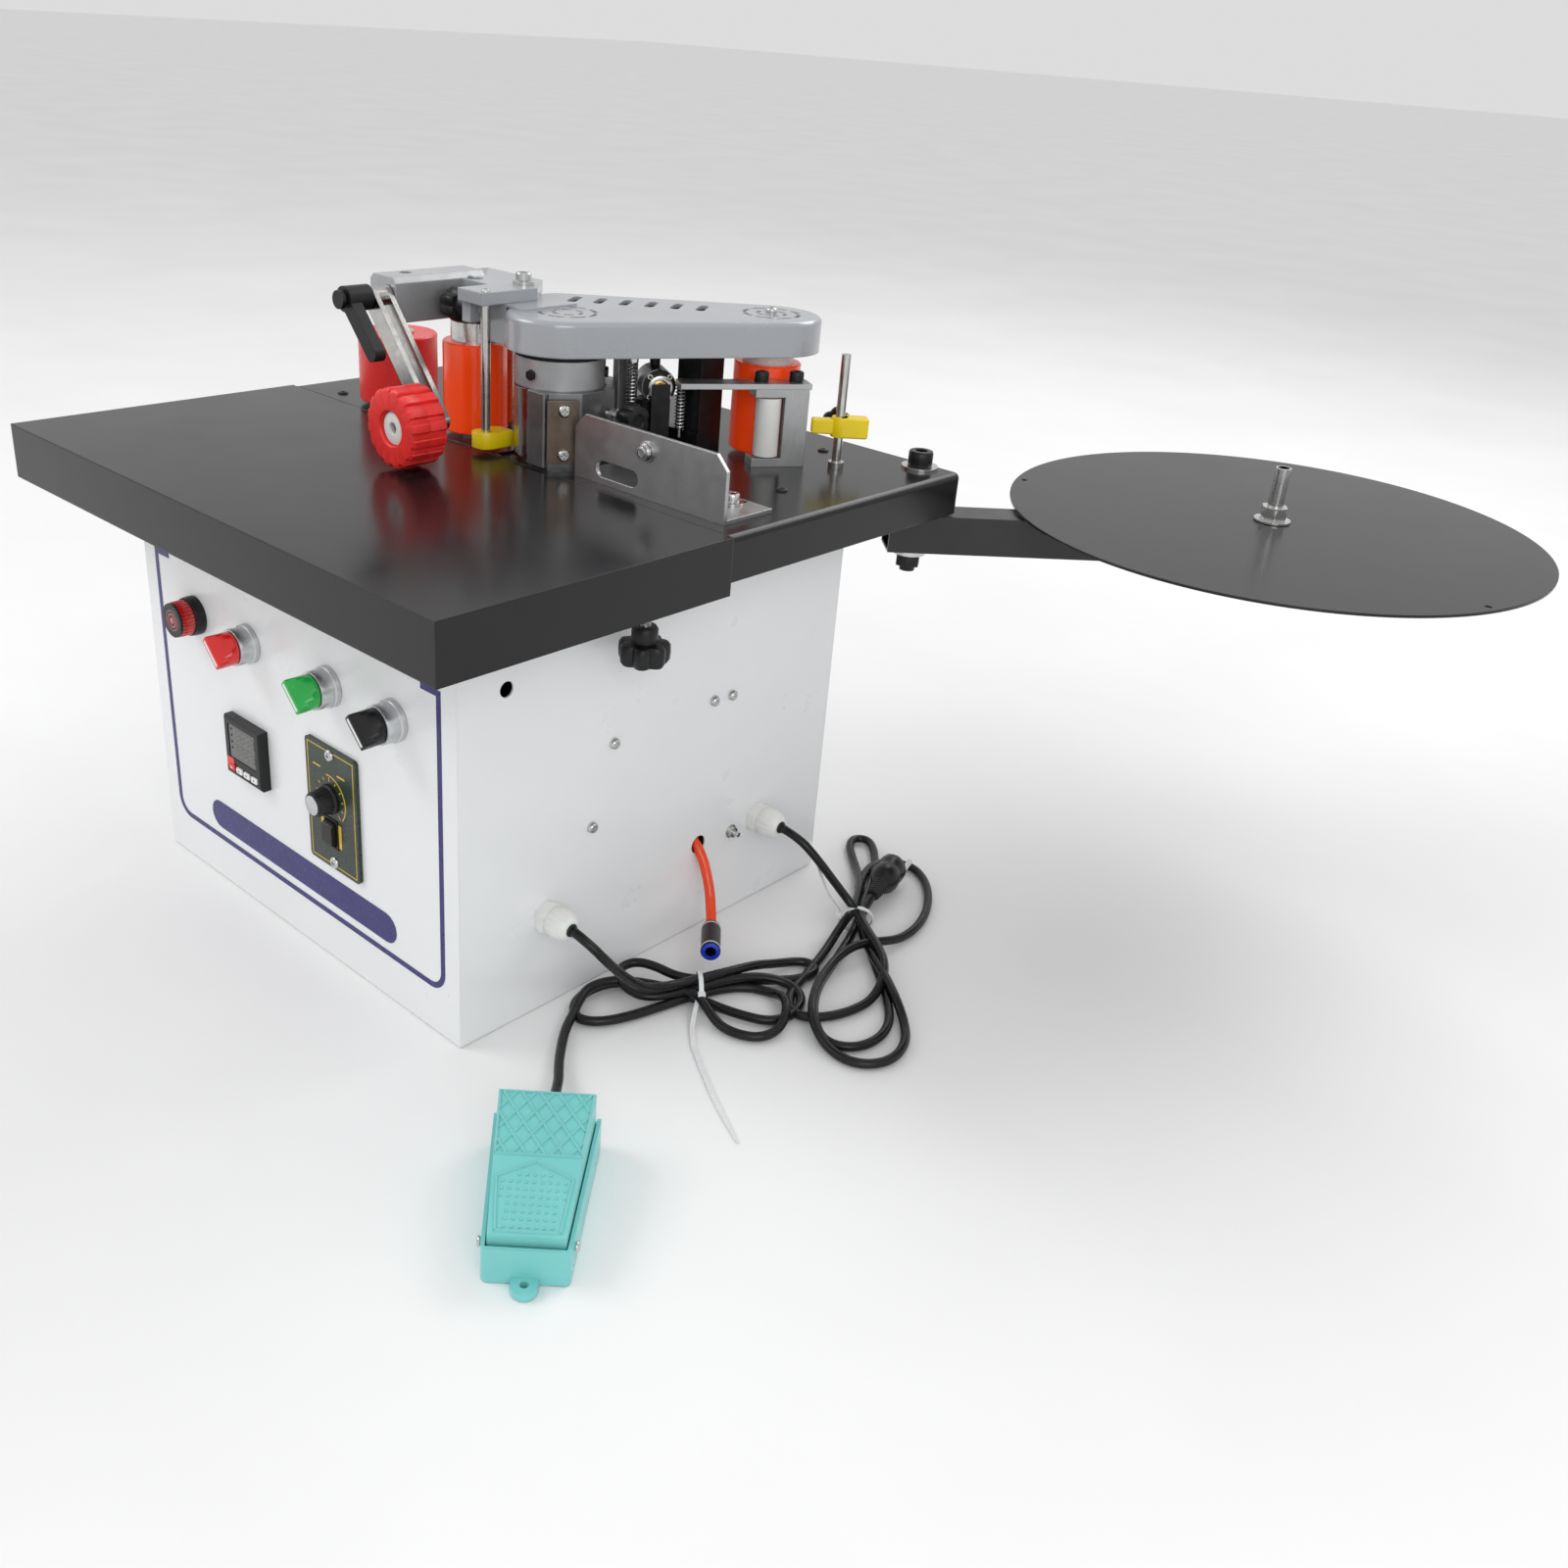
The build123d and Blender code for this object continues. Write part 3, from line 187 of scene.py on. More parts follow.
# The orange rollers carry a painted glow from emission, so they look brighter than the lamps make them.
orange_rubber = finish("orange_polyurethane", (1.0, 0.070, 0.006), 0.22, mottle=(0.03, 30),
                       grain=(0.05, 0.9), edge=0.7, edge_wear_and_highlight=(0.2, (1.0, 0.24, 0.10)),
                       uniform=COAT_AND_PAINTED_GLOW)
white_plastic = finish("white_nylon", (0.80, 0.80, 0.78), 0.34, mottle=(0.03, 12), grain=(0.08, 0.6),
                       edge=0.7, uniform=SOFT)
yellow_plastic = finish("yellow_moulding", (0.88, 0.66, 0.004), 0.34, mottle=(0.05, 14), grain=(0.16, 0.6),
                        edge=0.9, edge_wear_and_highlight=(0.3, (0.95, 0.80, 0.20)))
red_plastic = finish("red_switch_plastic", (0.72, 0.012, 0.010), 0.22, mottle=(0.05, 10),
                     grain=(0.05, 0.7), edge=0.8, uniform=COAT)
green_plastic = finish("green_switch_plastic", (0.006, 0.40, 0.055), 0.24, mottle=(0.05, 10),
                       grain=(0.05, 0.7), edge=0.8, uniform=COAT)
teal_plastic = finish("teal_moulding", (0.20, 0.60, 0.59), 0.33, mottle=(0.035, 26), grain=(0.10, 0.8),
                      edge=0.8, edge_wear_and_highlight=(0.4, (0.42, 0.80, 0.78)),
                      uniform={"Subsurface Weight": 0.15, "Subsurface Scale": 0.003})
blue_print = finish("blue_print", (0.020, 0.014, 0.14), 0.30, mottle=(0.08, 20), grain=(0.04, 0.7), edge=0)
blue_plastic = finish("blue_collet_plastic", (0.006, 0.035, 0.52), 0.28, mottle=(0.06, 6),
                      grain=(0.08, 0.7), edge=0.5)
cord_sheath = finish("black_cord_sheath", (0.008, 0.008, 0.009), 0.28, mottle=(0.2, 30), grain=(0.06, 0.9),
                     edge=0, uniform=DULL)
hose_plastic = finish("orange_hose", (0.95, 0.075, 0.008), 0.16, mottle=(0.07, 14), grain=(0.05, 0.7),
                      edge=0,
                      uniform=CLEAR)
tie_plastic = finish("natural_nylon_tie", (0.78, 0.79, 0.80), 0.25, mottle=(0.03, 9), grain=(0.06, 0.7),
                     edge=0.3, uniform={"Subsurface Weight": 0.3, "Subsurface Scale": 0.003})
lens_red = finish("red_lens", (0.55, 0.006, 0.006), 0.10, mottle=(0.10, 5), grain=(0.03, 0.7), edge=0.5,
                  uniform=LENS)
screen = finish("dark_screen", (0.010, 0.008, 0.009), 0.10, mottle=(0.3, 12), grain=(0.01, 0.7), edge=0,
                uniform=GLASS)
window_tint = finish("display_window", (0.050, 0.054, 0.044), 0.12, mottle=(0.10, 8), grain=(0.01, 0.7),
                     edge=0, uniform=GLASS)
unlit = finish("unlit_segment", (0.075, 0.078, 0.064), 0.25, mottle=(0.2, 3), grain=(0.02, 0.7), edge=0)
plate_print = finish("dark_green_plate", (0.020, 0.034, 0.024), 0.30, mottle=(0.15, 12), grain=(0.2, 0.4),
                     edge=0.6, edge_wear_and_highlight=(0.4, (0.12, 0.13, 0.10)))
yellow_print = finish("yellow_print", (0.72, 0.47, 0.03), 0.35, mottle=(0.08, 5), grain=(0.05, 0.7),
                      edge=0)
white_print = finish("white_print", (0.75, 0.75, 0.74), 0.35, mottle=(0.05, 4), grain=(0.05, 0.7), edge=0)
belt_rubber = finish("belt_rubber", (0.02, 0.02, 0.02), 0.55, mottle=(0.2, 8), grain=(0.4, 0.5), edge=0.3)
brass = finish("brass", (0.62, 0.40, 0.13), 0.26, metal=1.0, mottle=(0.1, 5), grain=(0.15, 0.7), edge=0.4)
bronze_plate = finish("tempered_facet", (0.20, 0.155, 0.12), 0.34, metal=0.9, mottle=(0.25, 14),
                      grain=(0.2, 0.5), stretch=(1, 1, 0.1), edge=0.6, edge_wear_and_highlight=(0.5, (0.6, 0.6, 0.58)))


def paint(node, slot, base, *rules):
    """Give a CAD node its finishes: the first rule whose test holds for a face's middle wins."""
    obj = nodes[node]
    mesh = obj.data
    mesh.materials.clear()
    for mat in (base, *(m for m, test in rules)):
        mesh.materials.append(mat)
    for face in mesh.polygons:
        c = Vector(face.center) / MM
        face.material_index = next((i for i, (m, test) in enumerate(rules, 1) if test(c)), 0)
    return obj


def near(x, y, r):
    return lambda c: math.hypot(c.x - x, c.y - y) < r


def middle(node):
    lo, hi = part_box(node)
    return (lo + hi) / 2 / MM


# ---- mesh helpers


def piece(name, body, slot, bm, *mats, sharp=38.0):
    """Finish a mesh drawn in millimetres as an object that rides on a body."""
    bmesh.ops.scale(bm, vec=(MM, MM, MM), verts=bm.verts)
    bmesh.ops.recalc_face_normals(bm, faces=bm.faces)
    for edge in bm.edges:
        edge.smooth = len(edge.link_faces) == 2 and edge.calc_face_angle(0.0) < math.radians(sharp)
    for face in bm.faces:
        face.smooth = True
    mesh = bpy.data.meshes.new(name)
    bm.to_mesh(mesh)
    bm.free()
    for mat in mats:
        mesh.materials.append(mat)
    obj = bpy.data.objects.new(name, mesh)
    bpy.context.scene.collection.objects.link(obj)
    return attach(obj, body)


def shift(x, y, z):
    return Matrix.Translation((x, y, z))


def spin(degrees):
    return Matrix.Rotation(math.radians(degrees), 4, "Z")


def facing(at, z_dir, x_hint=(0, 0, 1)):
    """Matrix that puts something drawn along +Z at a point, along a direction."""
    z = Vector(z_dir).normalized()
    hint = Vector(x_hint)
    if abs(z.dot(hint.normalized())) > 0.98:
        hint = Vector((1, 0, 0))
    y = z.cross(hint).normalized()
    x = y.cross(z)
    turn = Matrix((x, y, z)).transposed().to_4x4()
    return Matrix.Translation(at) @ turn


def loft(bm, rings, at=None, loop=False):
    """Skin over rings of points, capped at both ends or joined end to end."""
    at = at or Matrix()
    rows = [[bm.verts.new(at @ Vector(p)) for p in ring] for ring in rings]
    pairs = list(zip(rows, rows[1:]))
    if loop:
        pairs.append((rows[-1], rows[0]))
    for a, b in pairs:
        for i in range(len(a)):
            j = (i + 1) % len(a)
            bm.faces.new((a[i], a[j], b[j], b[i]))
    if not loop:
        bm.faces.new(rows[0][::-1])
        bm.faces.new(rows[-1])


def hexed(a):
    """Radius of a hexagon at an angle, as a share of its corner radius."""
    return math.cos(math.pi / 6) / math.cos(a % (math.pi / 3) - math.pi / 6)


def lathe(bm, profile, at=None, n=48, wave=None, loop=False):
    """Turn (radius, z) or (radius, z, outline) stations round Z; an outline gives radius by angle."""
    rings = []
    for station in profile:
        r, z = station[:2]
        shape = station[2] if len(station) > 2 else wave
        ring = []
        for i in range(n):
            a = math.tau * i / n
            k = r * (shape(a) if shape else 1.0)
            ring.append((k * math.cos(a), k * math.sin(a), z))
        rings.append(ring)
    loft(bm, rings, at, loop)


def turned(name, body, slot, mat, profile, at=None, n=48, wave=None, loop=False):
    """A piece that is one turned shape."""
    bm = bmesh.new()
    lathe(bm, profile, at, n, wave, loop)
    return piece(name, body, slot, bm, mat)


def slab(bm, w, d, h, at=None, corner=1.0, ease=0.5):
    """Box about the origin in X and Y and up from Z = 0, with round corners and eased rims."""
    def outline(inset, z):
        points = []
        r = max(corner - inset, 0.05)
        for k in range(4):
            cx = (w / 2 - corner) * (1 if k in (0, 3) else -1)
            cy = (d / 2 - corner) * (1 if k in (0, 1) else -1)
            for s in range(5):
                a = math.pi / 2 * (k + s / 4)
                points.append((cx + r * math.cos(a), cy + r * math.sin(a), z))
        return points
    loft(bm, [outline(ease, 0), outline(0, ease), outline(0, h - ease), outline(ease, h)], at)


def ribbon(bm, path, width, thick, at, closed=False):
    """Flat strip along a path in the XY plane of at, thick along Z."""
    rings = []
    count = len(path)
    for i, p in enumerate(path):
        before = path[i - 1] if i or closed else None
        after = path[(i + 1) % count] if i < count - 1 or closed else None
        runs = []
        for a, b in ((before, p), (p, after)):
            if a and b:
                runs.append(Vector((b[0] - a[0], b[1] - a[1], 0)).normalized())
        run = sum(runs, Vector()).normalized()
        side = Vector((-run.y, run.x, 0)) * (width / 2 / max(0.5, run.dot(runs[0])))
        mid = Vector((p[0], p[1], 0))
        up = Vector((0, 0, thick))
        rings.append([mid - side, mid + side, mid + side + up, mid - side + up])
    loft(bm, rings, at, loop=closed)


def thread(bm, r, z0, z1, pitch, at):
    """Threaded rod along Z."""
    n, steps = 24, int((z1 - z0) / pitch * 6)
    depth = 0.12 * r

    def ring(z):
        points = []
        for i in range(n):
            a = math.tau * i / n
            phase = (z / pitch - a / math.tau) % 1.0
            k = r - depth * abs(2 * phase - 1)
            points.append((k * math.cos(a), k * math.sin(a), z))
        return points
    loft(bm, [ring(z0 + (z1 - z0) * s / steps) for s in range(steps + 1)], at)


def coil(bm, r, wire, z0, z1, pitch, at):
    """Helical spring standing along the local Z axis."""
    steps = round((z1 - z0) / pitch * 18)
    rings = []
    for i in range(steps + 1):
        a = math.tau * i / 18
        out = Vector((math.cos(a), math.sin(a), 0))
        mid = out * r + Vector((0, 0, z0 + (z1 - z0) * i / steps))
        rings.append([mid + (out * math.cos(b) + Vector((0, 0, 1)) * math.sin(b)) * wire
                      for b in (math.tau * k / 8 for k in range(8))])
    loft(bm, rings, at)


def cap_head(bm, r, h, at):
    """Socket cap head standing on Z = 0, with a knurled side and a hexagon recess."""
    def knurl(a):
        return 1.0 + 0.012 * math.cos(24 * a)
    lathe(bm, [(r * 0.94, 0), (r, 0.06 * h, knurl), (r, 0.86 * h, knurl), (r * 0.88, h), (r * 0.56, h, hexed),
               (r * 0.56, 0.42 * h, hexed), (r * 0.1, 0.34 * h)], at, n=96)


def button_head(bm, r, h, at):
    """Domed head with a hexagon recess."""
    lathe(bm, [(r, 0), (r, 0.2 * h), (r * 0.93, 0.6 * h), (r * 0.72, 0.9 * h), (r * 0.5, h),
               (r * 0.42, h, hexed), (r * 0.42, 0.3 * h, hexed), (r * 0.08, 0.25 * h)], at, n=48)


def pan_head(bm, r, h, at):
    """Pan head with a cross recess."""
    def cross(a):
        return 0.38 + 0.62 * abs(math.cos(2 * a)) ** 6
    lathe(bm, [(r, 0), (r, 0.25 * h), (r * 0.9, 0.7 * h), (r * 0.66, h), (r * 0.55, h, cross),
               (r * 0.4, 0.35 * h, cross), (r * 0.05, 0.25 * h)], at, n=64)


def hex_nut(bm, r, h, at):
    """Hexagon nut with chamfered corners."""
    def shy(a):
        return min(hexed(a), 0.93)
    profile = [(r, 0, shy), (r, 0.14 * h, hexed), (r, 0.86 * h, hexed), (r, h, shy), (r * 0.55, h)]
    lathe(bm, profile, at, n=72)


def star_grip(bm, r, h, at, lobes=7):
    """Lobed grip along +Z with hollows between round lobes and an eased crown."""
    def lobe(a):
        return 0.80 + 0.20 * (0.5 + 0.5 * math.cos(lobes * a)) ** 0.6
    lathe(bm, [(r * 0.45, 0), (r * 0.5, 0.10 * h), (r * 0.90, 0.14 * h, lobe), (r * 0.98, 0.24 * h, lobe),
               (r, 0.5 * h, lobe), (r * 0.98, 0.80 * h, lobe), (r * 0.88, 0.95 * h, lobe), (r * 0.6, h),
               (r * 0.42, h), (r * 0.36, 0.93 * h), (r * 0.05, 0.92 * h)], at, n=84)


# ---- cabinet and table
half_w, panel_y = 190.0, -190.0
table_top = 350.0


def cabinet():
    paint("cabinet_shell", "white_paint", white_paint)
    paint("rear_panel", "white_paint", white_paint)
    paint("rear_table", "black_paint", black_paint)
    paint("front_table", "black_paint", black_paint)
    paint("table_frame", "black_paint", tube_paint, (steel, lambda c: abs(c.x) > 195))
    paint("electrics_plate", "steel", steel, (black_plastic, lambda c: c.x > -186 and c.x < 0),
          (block_metal, lambda c: c.x > 0))
    paint("gearmotor", "black_paint", tube_paint, (block_metal, lambda c: c.z > 226))
    paint("drive_belts", "belt_rubber", belt_rubber)
    paint("roller_bearings", "steel", steel)


def cabinet_screws():
    bm = bmesh.new()
    for y, z in ((-53, 192), (-72, 132), (49.6, 195), (69.5, 194)):
        pan_head(bm, 4.2, 3.4, facing((half_w + 0.1, y, z), (1, 0, 0)))
    for x in (-154, 154):
        for z in (38, 302):
            pan_head(bm, 4.2, 3.0, facing((x, 191.6, z), (0, 1, 0)))
    stud = facing((half_w, 80, 73), (1, 0, 0))
    lathe(bm, [(5.6, 0), (5.6, 1.0), (3.0, 1.0)], stud, n=32)
    hex_nut(bm, 4.6, 3.2, stud @ shift(0, 0, 1.0))
    thread(bm, 2.05, 3.0, 9.2, 0.8, stud)
    piece("cabinet_screws", "cabinet", "steel", bm, steel)


def panel_print():
    """Border line and banner on the operator's side."""
    at = facing((0, panel_y - 0.02, 0), (0, -1, 0), (1, 0, 0))
    side, shoulder, low, step, high = 172.0, 156.0, 38.0, 262.0, 309.0
    radius = 14.0
    path = [(-shoulder, high), (-shoulder, step), (-side, step)]
    for cx, cz, a0 in ((-side + radius, low + radius, 180), (side - radius, low + radius, 270)):
        for s in range(9):
            a = math.radians(a0 + 90 * s / 8)
            path.append((cx + radius * math.cos(a), cz + radius * math.sin(a)))
    path += [(side, step), (shoulder, step), (shoulder, high)]
    bm = bmesh.new()
    ribbon(bm, path, 4.4, 0.3, at)
    slab(bm, 242, 24, 0.35, at @ shift(-1, 59, 0), corner=12, ease=0.1)
    piece("panel_print", "cabinet", None, bm, blue_print)


def lock():
    x, y, z = middle("lock_knob")
    lo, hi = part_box("lock_knob")
    low = lo.z / MM
    bm = bmesh.new()
    star_grip(bm, 18, 18, facing((x, y, low + 18), (0, 0, -1)), 7)
    lathe(bm, [(9, 0), (9, 9), (7.5, 11)], shift(x, y, low + 16))
    piece("lock_knob_grip", "lock_knob", "black_plastic", bm, black_plastic)
    bm = bmesh.new()
    at = shift(x, y, low)
    thread(bm, 4.0, 26, 71, 1.25, at)
    lathe(bm, [(10, 72), (10, 78.4)], at)
    lathe(bm, [(4, 71), (4, hi.z / MM - low)], at)
    stud = piece("lock_knob_stud", "lock_knob", "steel", bm, steel)
    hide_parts("lock_knob")


cabinet()
cabinet_screws()
panel_print()
lock()

# ---- rollers
rollers = {"red": (-153.0, 24.0), "drive": (-45.0, 16.0), "feed": (120.0, 164.0)}


def roller_paint():
    drive = near(*rollers["drive"], 23.0)
    paint("press_roller_drive", "orange_rubber", orange_rubber,
          (steel, lambda c: drive(c) and c.z > 421.2), (steel, lambda c: c.z < 350))
    feed = near(*rollers["feed"], 24.0)
    paint("feed_roller", "orange_rubber", orange_rubber,
          (white_plastic, lambda c: feed(c) and c.z > 420.2), (steel, lambda c: c.z < 350))
    paint("press_roller_idle", "red_rubber", red_rubber)
    paint("glue_roller", "steel", ground_steel)
    paint("pinch_roller", "white_plastic", white_plastic)


def roller_trim():
    """Steel bearing cap and pin end on the red roller."""
    bm = bmesh.new()
    x, y = rollers["red"]
    at = shift(x, y, 408.2)
    lathe(bm, [(13, 0), (13, 1.2), (12, 1.8), (9.2, 1.8), (9.2, 0.6), (8.6, 0.6)], at)
    piece("idle_roller_cap", "press_roller_idle", "steel", bm, steel)


roller_paint()
roller_trim()

# ---- glue pot
pot_at = (42.0, 24.0)


def glue():
    paint("glue_pot", "cast_aluminium", dark_cast,
          (bronze_plate, lambda c: c.x > 66.9 and c.y < 9 and c.z > 355.5 and c.z < 401.5
           and (c.x - 67) * 0.83 - (c.y + 10.4) * 0.6 > -1.2))
    paint("glue_collar", "cast_aluminium", cast_metal, (black_plastic, lambda c: c.z > 426.1))
    bm = bmesh.new()
    out = Vector((0.84, -0.54, 0))
    for x, y, z in ((75.2, -1.2, 394), (75.2, -1.2, 362)):
        pan_head(bm, 4.6, 3.0, facing((x, y, z), out))
    piece("pot_plate_screws", "cabinet", "steel", bm, steel)
    bm = bmesh.new()
    lathe(bm, [(30.4, 426.4), (31, 426.8), (31, 429.2), (29, 429.8)], shift(*pot_at, 0), n=64)
    for k in range(3):
        a = math.radians(40 + 120 * k)
        hex_nut(bm, 4, 3.2, facing((42 + 33 * math.cos(a), 24 + 33 * math.sin(a), 415),
                                   (math.cos(a), math.sin(a), 0)) @ shift(0, 0, -1.2))
    piece("pot_gasket", "cabinet", "black_plastic", bm, black_plastic)


def glue_knob():
    x0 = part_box("glue_knob")[0].x / MM
    y, z = middle("glue_knob").yz
    at = facing((0, y, z), (1, 0, 0))
    bm = bmesh.new()
    lathe(bm, [(3, x0), (3, 78)], at)
    thread(bm, 3.0, 78, 84, 1.0, at)
    lathe(bm, [(5, 84), (5, 88), (4, 88.2), (4, 97)], at)
    shaft = piece("glue_knob_shaft", "glue_knob", "steel", bm, steel)
    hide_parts("glue_knob")
    bm = bmesh.new()
    star_grip(bm, 13, 15, at @ shift(0, 0, 96), 6)
    piece("glue_knob_grip", "glue_knob", "black_plastic", bm, black_plastic)


glue()
glue_knob()

# ---- fence and tape guides
rod_at = {"left": (4.0, -14.0), "right": (184.0, 177.0)}


def tape_guides():
    """Yellow foot with a bowed front edge, and clamp with a thin arm, a hub and a block."""
    x, y = rod_at["left"]
    outline = [(-9.6, -3.0), (-8.4, -6.6), (-5.0, -8.8), (0, -8.9), (5.0, -7.8), (8.2, -3.4), (8.9, 2.0),
               (8.9, 19.6), (-6.0, 19.6), (-9.6, 14.0)]
    rim = []
    for a, b in zip(outline, outline[1:] + outline[:1]):
        rim += [Vector(a).lerp(Vector(b), k / 4) for k in range(4)]
    rings = []
    for p in rim:
        bore = p.normalized() * 3.6
        rings.append([Vector((x + q.x, y + q.y, z)) for q, z in (
            (bore, 354.2), (p * 0.97, 354.2), (p, 354.8), (p, 365.2), (p * 0.96, 365.9), (bore, 365.9))])
    bm = bmesh.new()
    loft(bm, rings, loop=True)
    foot = piece("tape_foot_body", "tape_foot", "yellow_plastic", bm, yellow_plastic, sharp=50.0)
    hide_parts("tape_foot")
    lo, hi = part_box("tape_clamp")
    z0, z1 = lo.z / MM, hi.z / MM
    at = shift(*rod_at["right"], z0) @ spin(46)
    bm = bmesh.new()
    slab(bm, 22, 8.5, z1 - z0 - 4.0, at @ shift(-10.2, 0.6, 2.0), corner=1.6, ease=0.8)
    slab(bm, 22, 13.0, z1 - z0, at @ shift(10.2, 0, 0), corner=2.2, ease=0.9)
    lathe(bm, [(3.6, 0.2), (6.2, 0.2), (6.4, 0.6), (6.4, z1 - z0 - 0.4), (6.0, z1 - z0), (3.6, z1 - z0)], at,
          loop=True)
    body = piece("tape_clamp_body", "tape_clamp", "yellow_plastic", bm, yellow_plastic)
    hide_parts("tape_clamp")


def guides():
    paint("fence", "steel", plate_metal)
    paint("guide_block", "aluminium", block_metal)
    paint("guide_top_plate", "aluminium", plate_metal)
    left, right = near(*rod_at["left"], 8), near(*rod_at["right"], 8)
    paint("guide_rods", "steel", steel, (ground_steel, lambda c: left(c) or right(c)),
          (black_steel, near(-5, 66, 7)))
    tape_guides()


def clamp_screw():
    lo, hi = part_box("clamp_screw")
    side = Vector((math.cos(math.radians(136)), math.sin(math.radians(136)), 0))
    root = Vector((*rod_at["right"], (lo.z + hi.z) / 2 / MM)) + side * 6.5
    at = facing(root, side)
    bm = bmesh.new()
    lathe(bm, [(5, 0), (5, 5.5), (4.2, 6)], at, n=32)
    star_grip(bm, 11, 8, at @ shift(0, 0, 5.6), 5)
    grip = piece("clamp_screw_grip", "clamp_screw", "black_plastic", bm, black_plastic)
    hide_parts("clamp_screw")


guides()
clamp_screw()

# ---- belt guard and press head


def head():
    paint("belt_guard", "grey_paint", grey_paint)
    paint("press_head", "grey_paint", cast_metal, (grey_paint, lambda c: c.x > -49 or c.z > 469.9))
    paint("wheel_arm", "steel", ground_steel)
    paint("clamp_lever", "black_plastic", black_plastic)


def head_knob():
    y, z = middle("head_knob").yz
    at = facing((0, y, z), (-1, 0, 0))
    bm = bmesh.new()
    star_grip(bm, 12.5, 17, at @ shift(0, 0, 29.5), 6)
    lathe(bm, [(7.5, 22.5), (8, 23.5), (8, 31), (7, 32)], at)
    grip = piece("head_knob_grip", "head_knob", "black_plastic", bm, black_plastic)
    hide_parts("head_knob")
    turned("head_knob_stud", "head_knob", "steel", steel, [(2.9, 12), (2.9, 23)], at, n=24)


def wheel():
    lo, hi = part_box("press_wheel")
    x, z = (lo.x + hi.x) / 2 / MM, (lo.z + hi.z) / 2 / MM
    y0, y1 = lo.y / MM, hi.y / MM
    lugs = 16

    def lug(a):
        """Broad lugs with a shallow step to one side and a valley between them."""
        f = (a / math.tau * lugs) % 1.0
        d = abs(f - 0.5) * 2
        if d > 0.78:
            return 0.905
        if d > 0.68:
            return 0.905 + 0.095 * (0.78 - d) / 0.10
        return 0.972 if f < 0.34 else 1.0
    at = facing((x, y0, z), (0, 1, 0))
    r, deep = 28.0, y1 - y0
    bm = bmesh.new()
    n = lugs * 20
    lathe(bm, [(12, 13), (12, 1.2), (13, 0), (25.2, 0), (26.6, 0.4, lug), (r, 1.6, lug),
               (r, deep * 0.48, lug), (r * 0.985, deep * 0.5, lug), (r, deep * 0.52, lug),
               (r, deep - 1.6, lug), (26.6, deep - 0.4, lug), (25.2, deep), (5.2, deep), (5.2, 13)],
          at, n=n, loop=True)
    tyre = piece("press_wheel_tyre", "press_wheel", "red_rubber", bm, wheel_rubber)
    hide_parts("press_wheel")
    turned("press_wheel_hub", "press_wheel", "white_plastic", white_plastic, [(4.1, 2.2), (9.8, 2.2),
           (11.6, 3.2), (11.9, 4.4), (11.9, 12.9), (4.1, 12.9)], at, loop=True)


head()
head_knob()
wheel()

# ---- fasteners
along_dir = Vector((22, 35, 0)).normalized()
across_dir = Vector((along_dir.y, -along_dir.x, 0))
block_start = Vector((146, 123, 0))


def fastener_paint():
    dark = [near(-59, -80, 20), near(-205, 5, 6), near(-110, 80, 6), near(147, 208, 6), near(200, 96, 6),
            near(60, 215, 6)]
    pivot = near(222, 233, 9.6)
    paint("fasteners", "steel", steel, (black_steel, lambda c: any(t(c) for t in dark)),
          (black_steel, lambda c: pivot(c) and c.z > 352.1), (black_steel, lambda c: pivot(c) and c.z < 285))


def head_screws():
    bm = bmesh.new()
    for s in (6, 33):
        p = block_start + along_dir * s - across_dir * 8.5
        cap_head(bm, 5.3, 7.6, shift(p.x, p.y, 412.05))
    cap_head(bm, 9.3, 11.3, shift(222, 233, 352.05))
    piece("black_cap_screws", "cabinet", "black_plastic", bm, black_steel)
    bm = bmesh.new()
    cap_head(bm, 5.8, 5.6, shift(-8.5, 32, 469))
    cap_head(bm, 5.3, 6.4, shift(207, 34, 354.4))
    button_head(bm, 6.0, 3.6, facing((157, -1.8, 383), (0, -1, 0)))
    lathe(bm, [(7.4, 0), (7.4, 1.0), (6.0, 1.2)], facing((157, -0.05, 383), (0, -1, 0)))
    button_head(bm, 4.4, 2.4, shift(*rollers["feed"], 456.9))
    button_head(bm, 2.9, 2.2, shift(4, -14, 466))
    hex_nut(bm, 5.6, 3.4, shift(184, 177, 350))
    piece("bright_screws", "cabinet", "steel", bm, steel)
    bm = bmesh.new()
    for x, y in ((-205, 5), (-110, 80), (147, 208), (200, 96), (60, 215)):
        button_head(bm, 4.4, 1.6, shift(x, y, table_top))
    piece("table_screws", "cabinet", "black_plastic", bm, black_steel)


fastener_paint()
head_screws()

# ---- tape cutter
cut_mid = Vector((80, 88, 402))


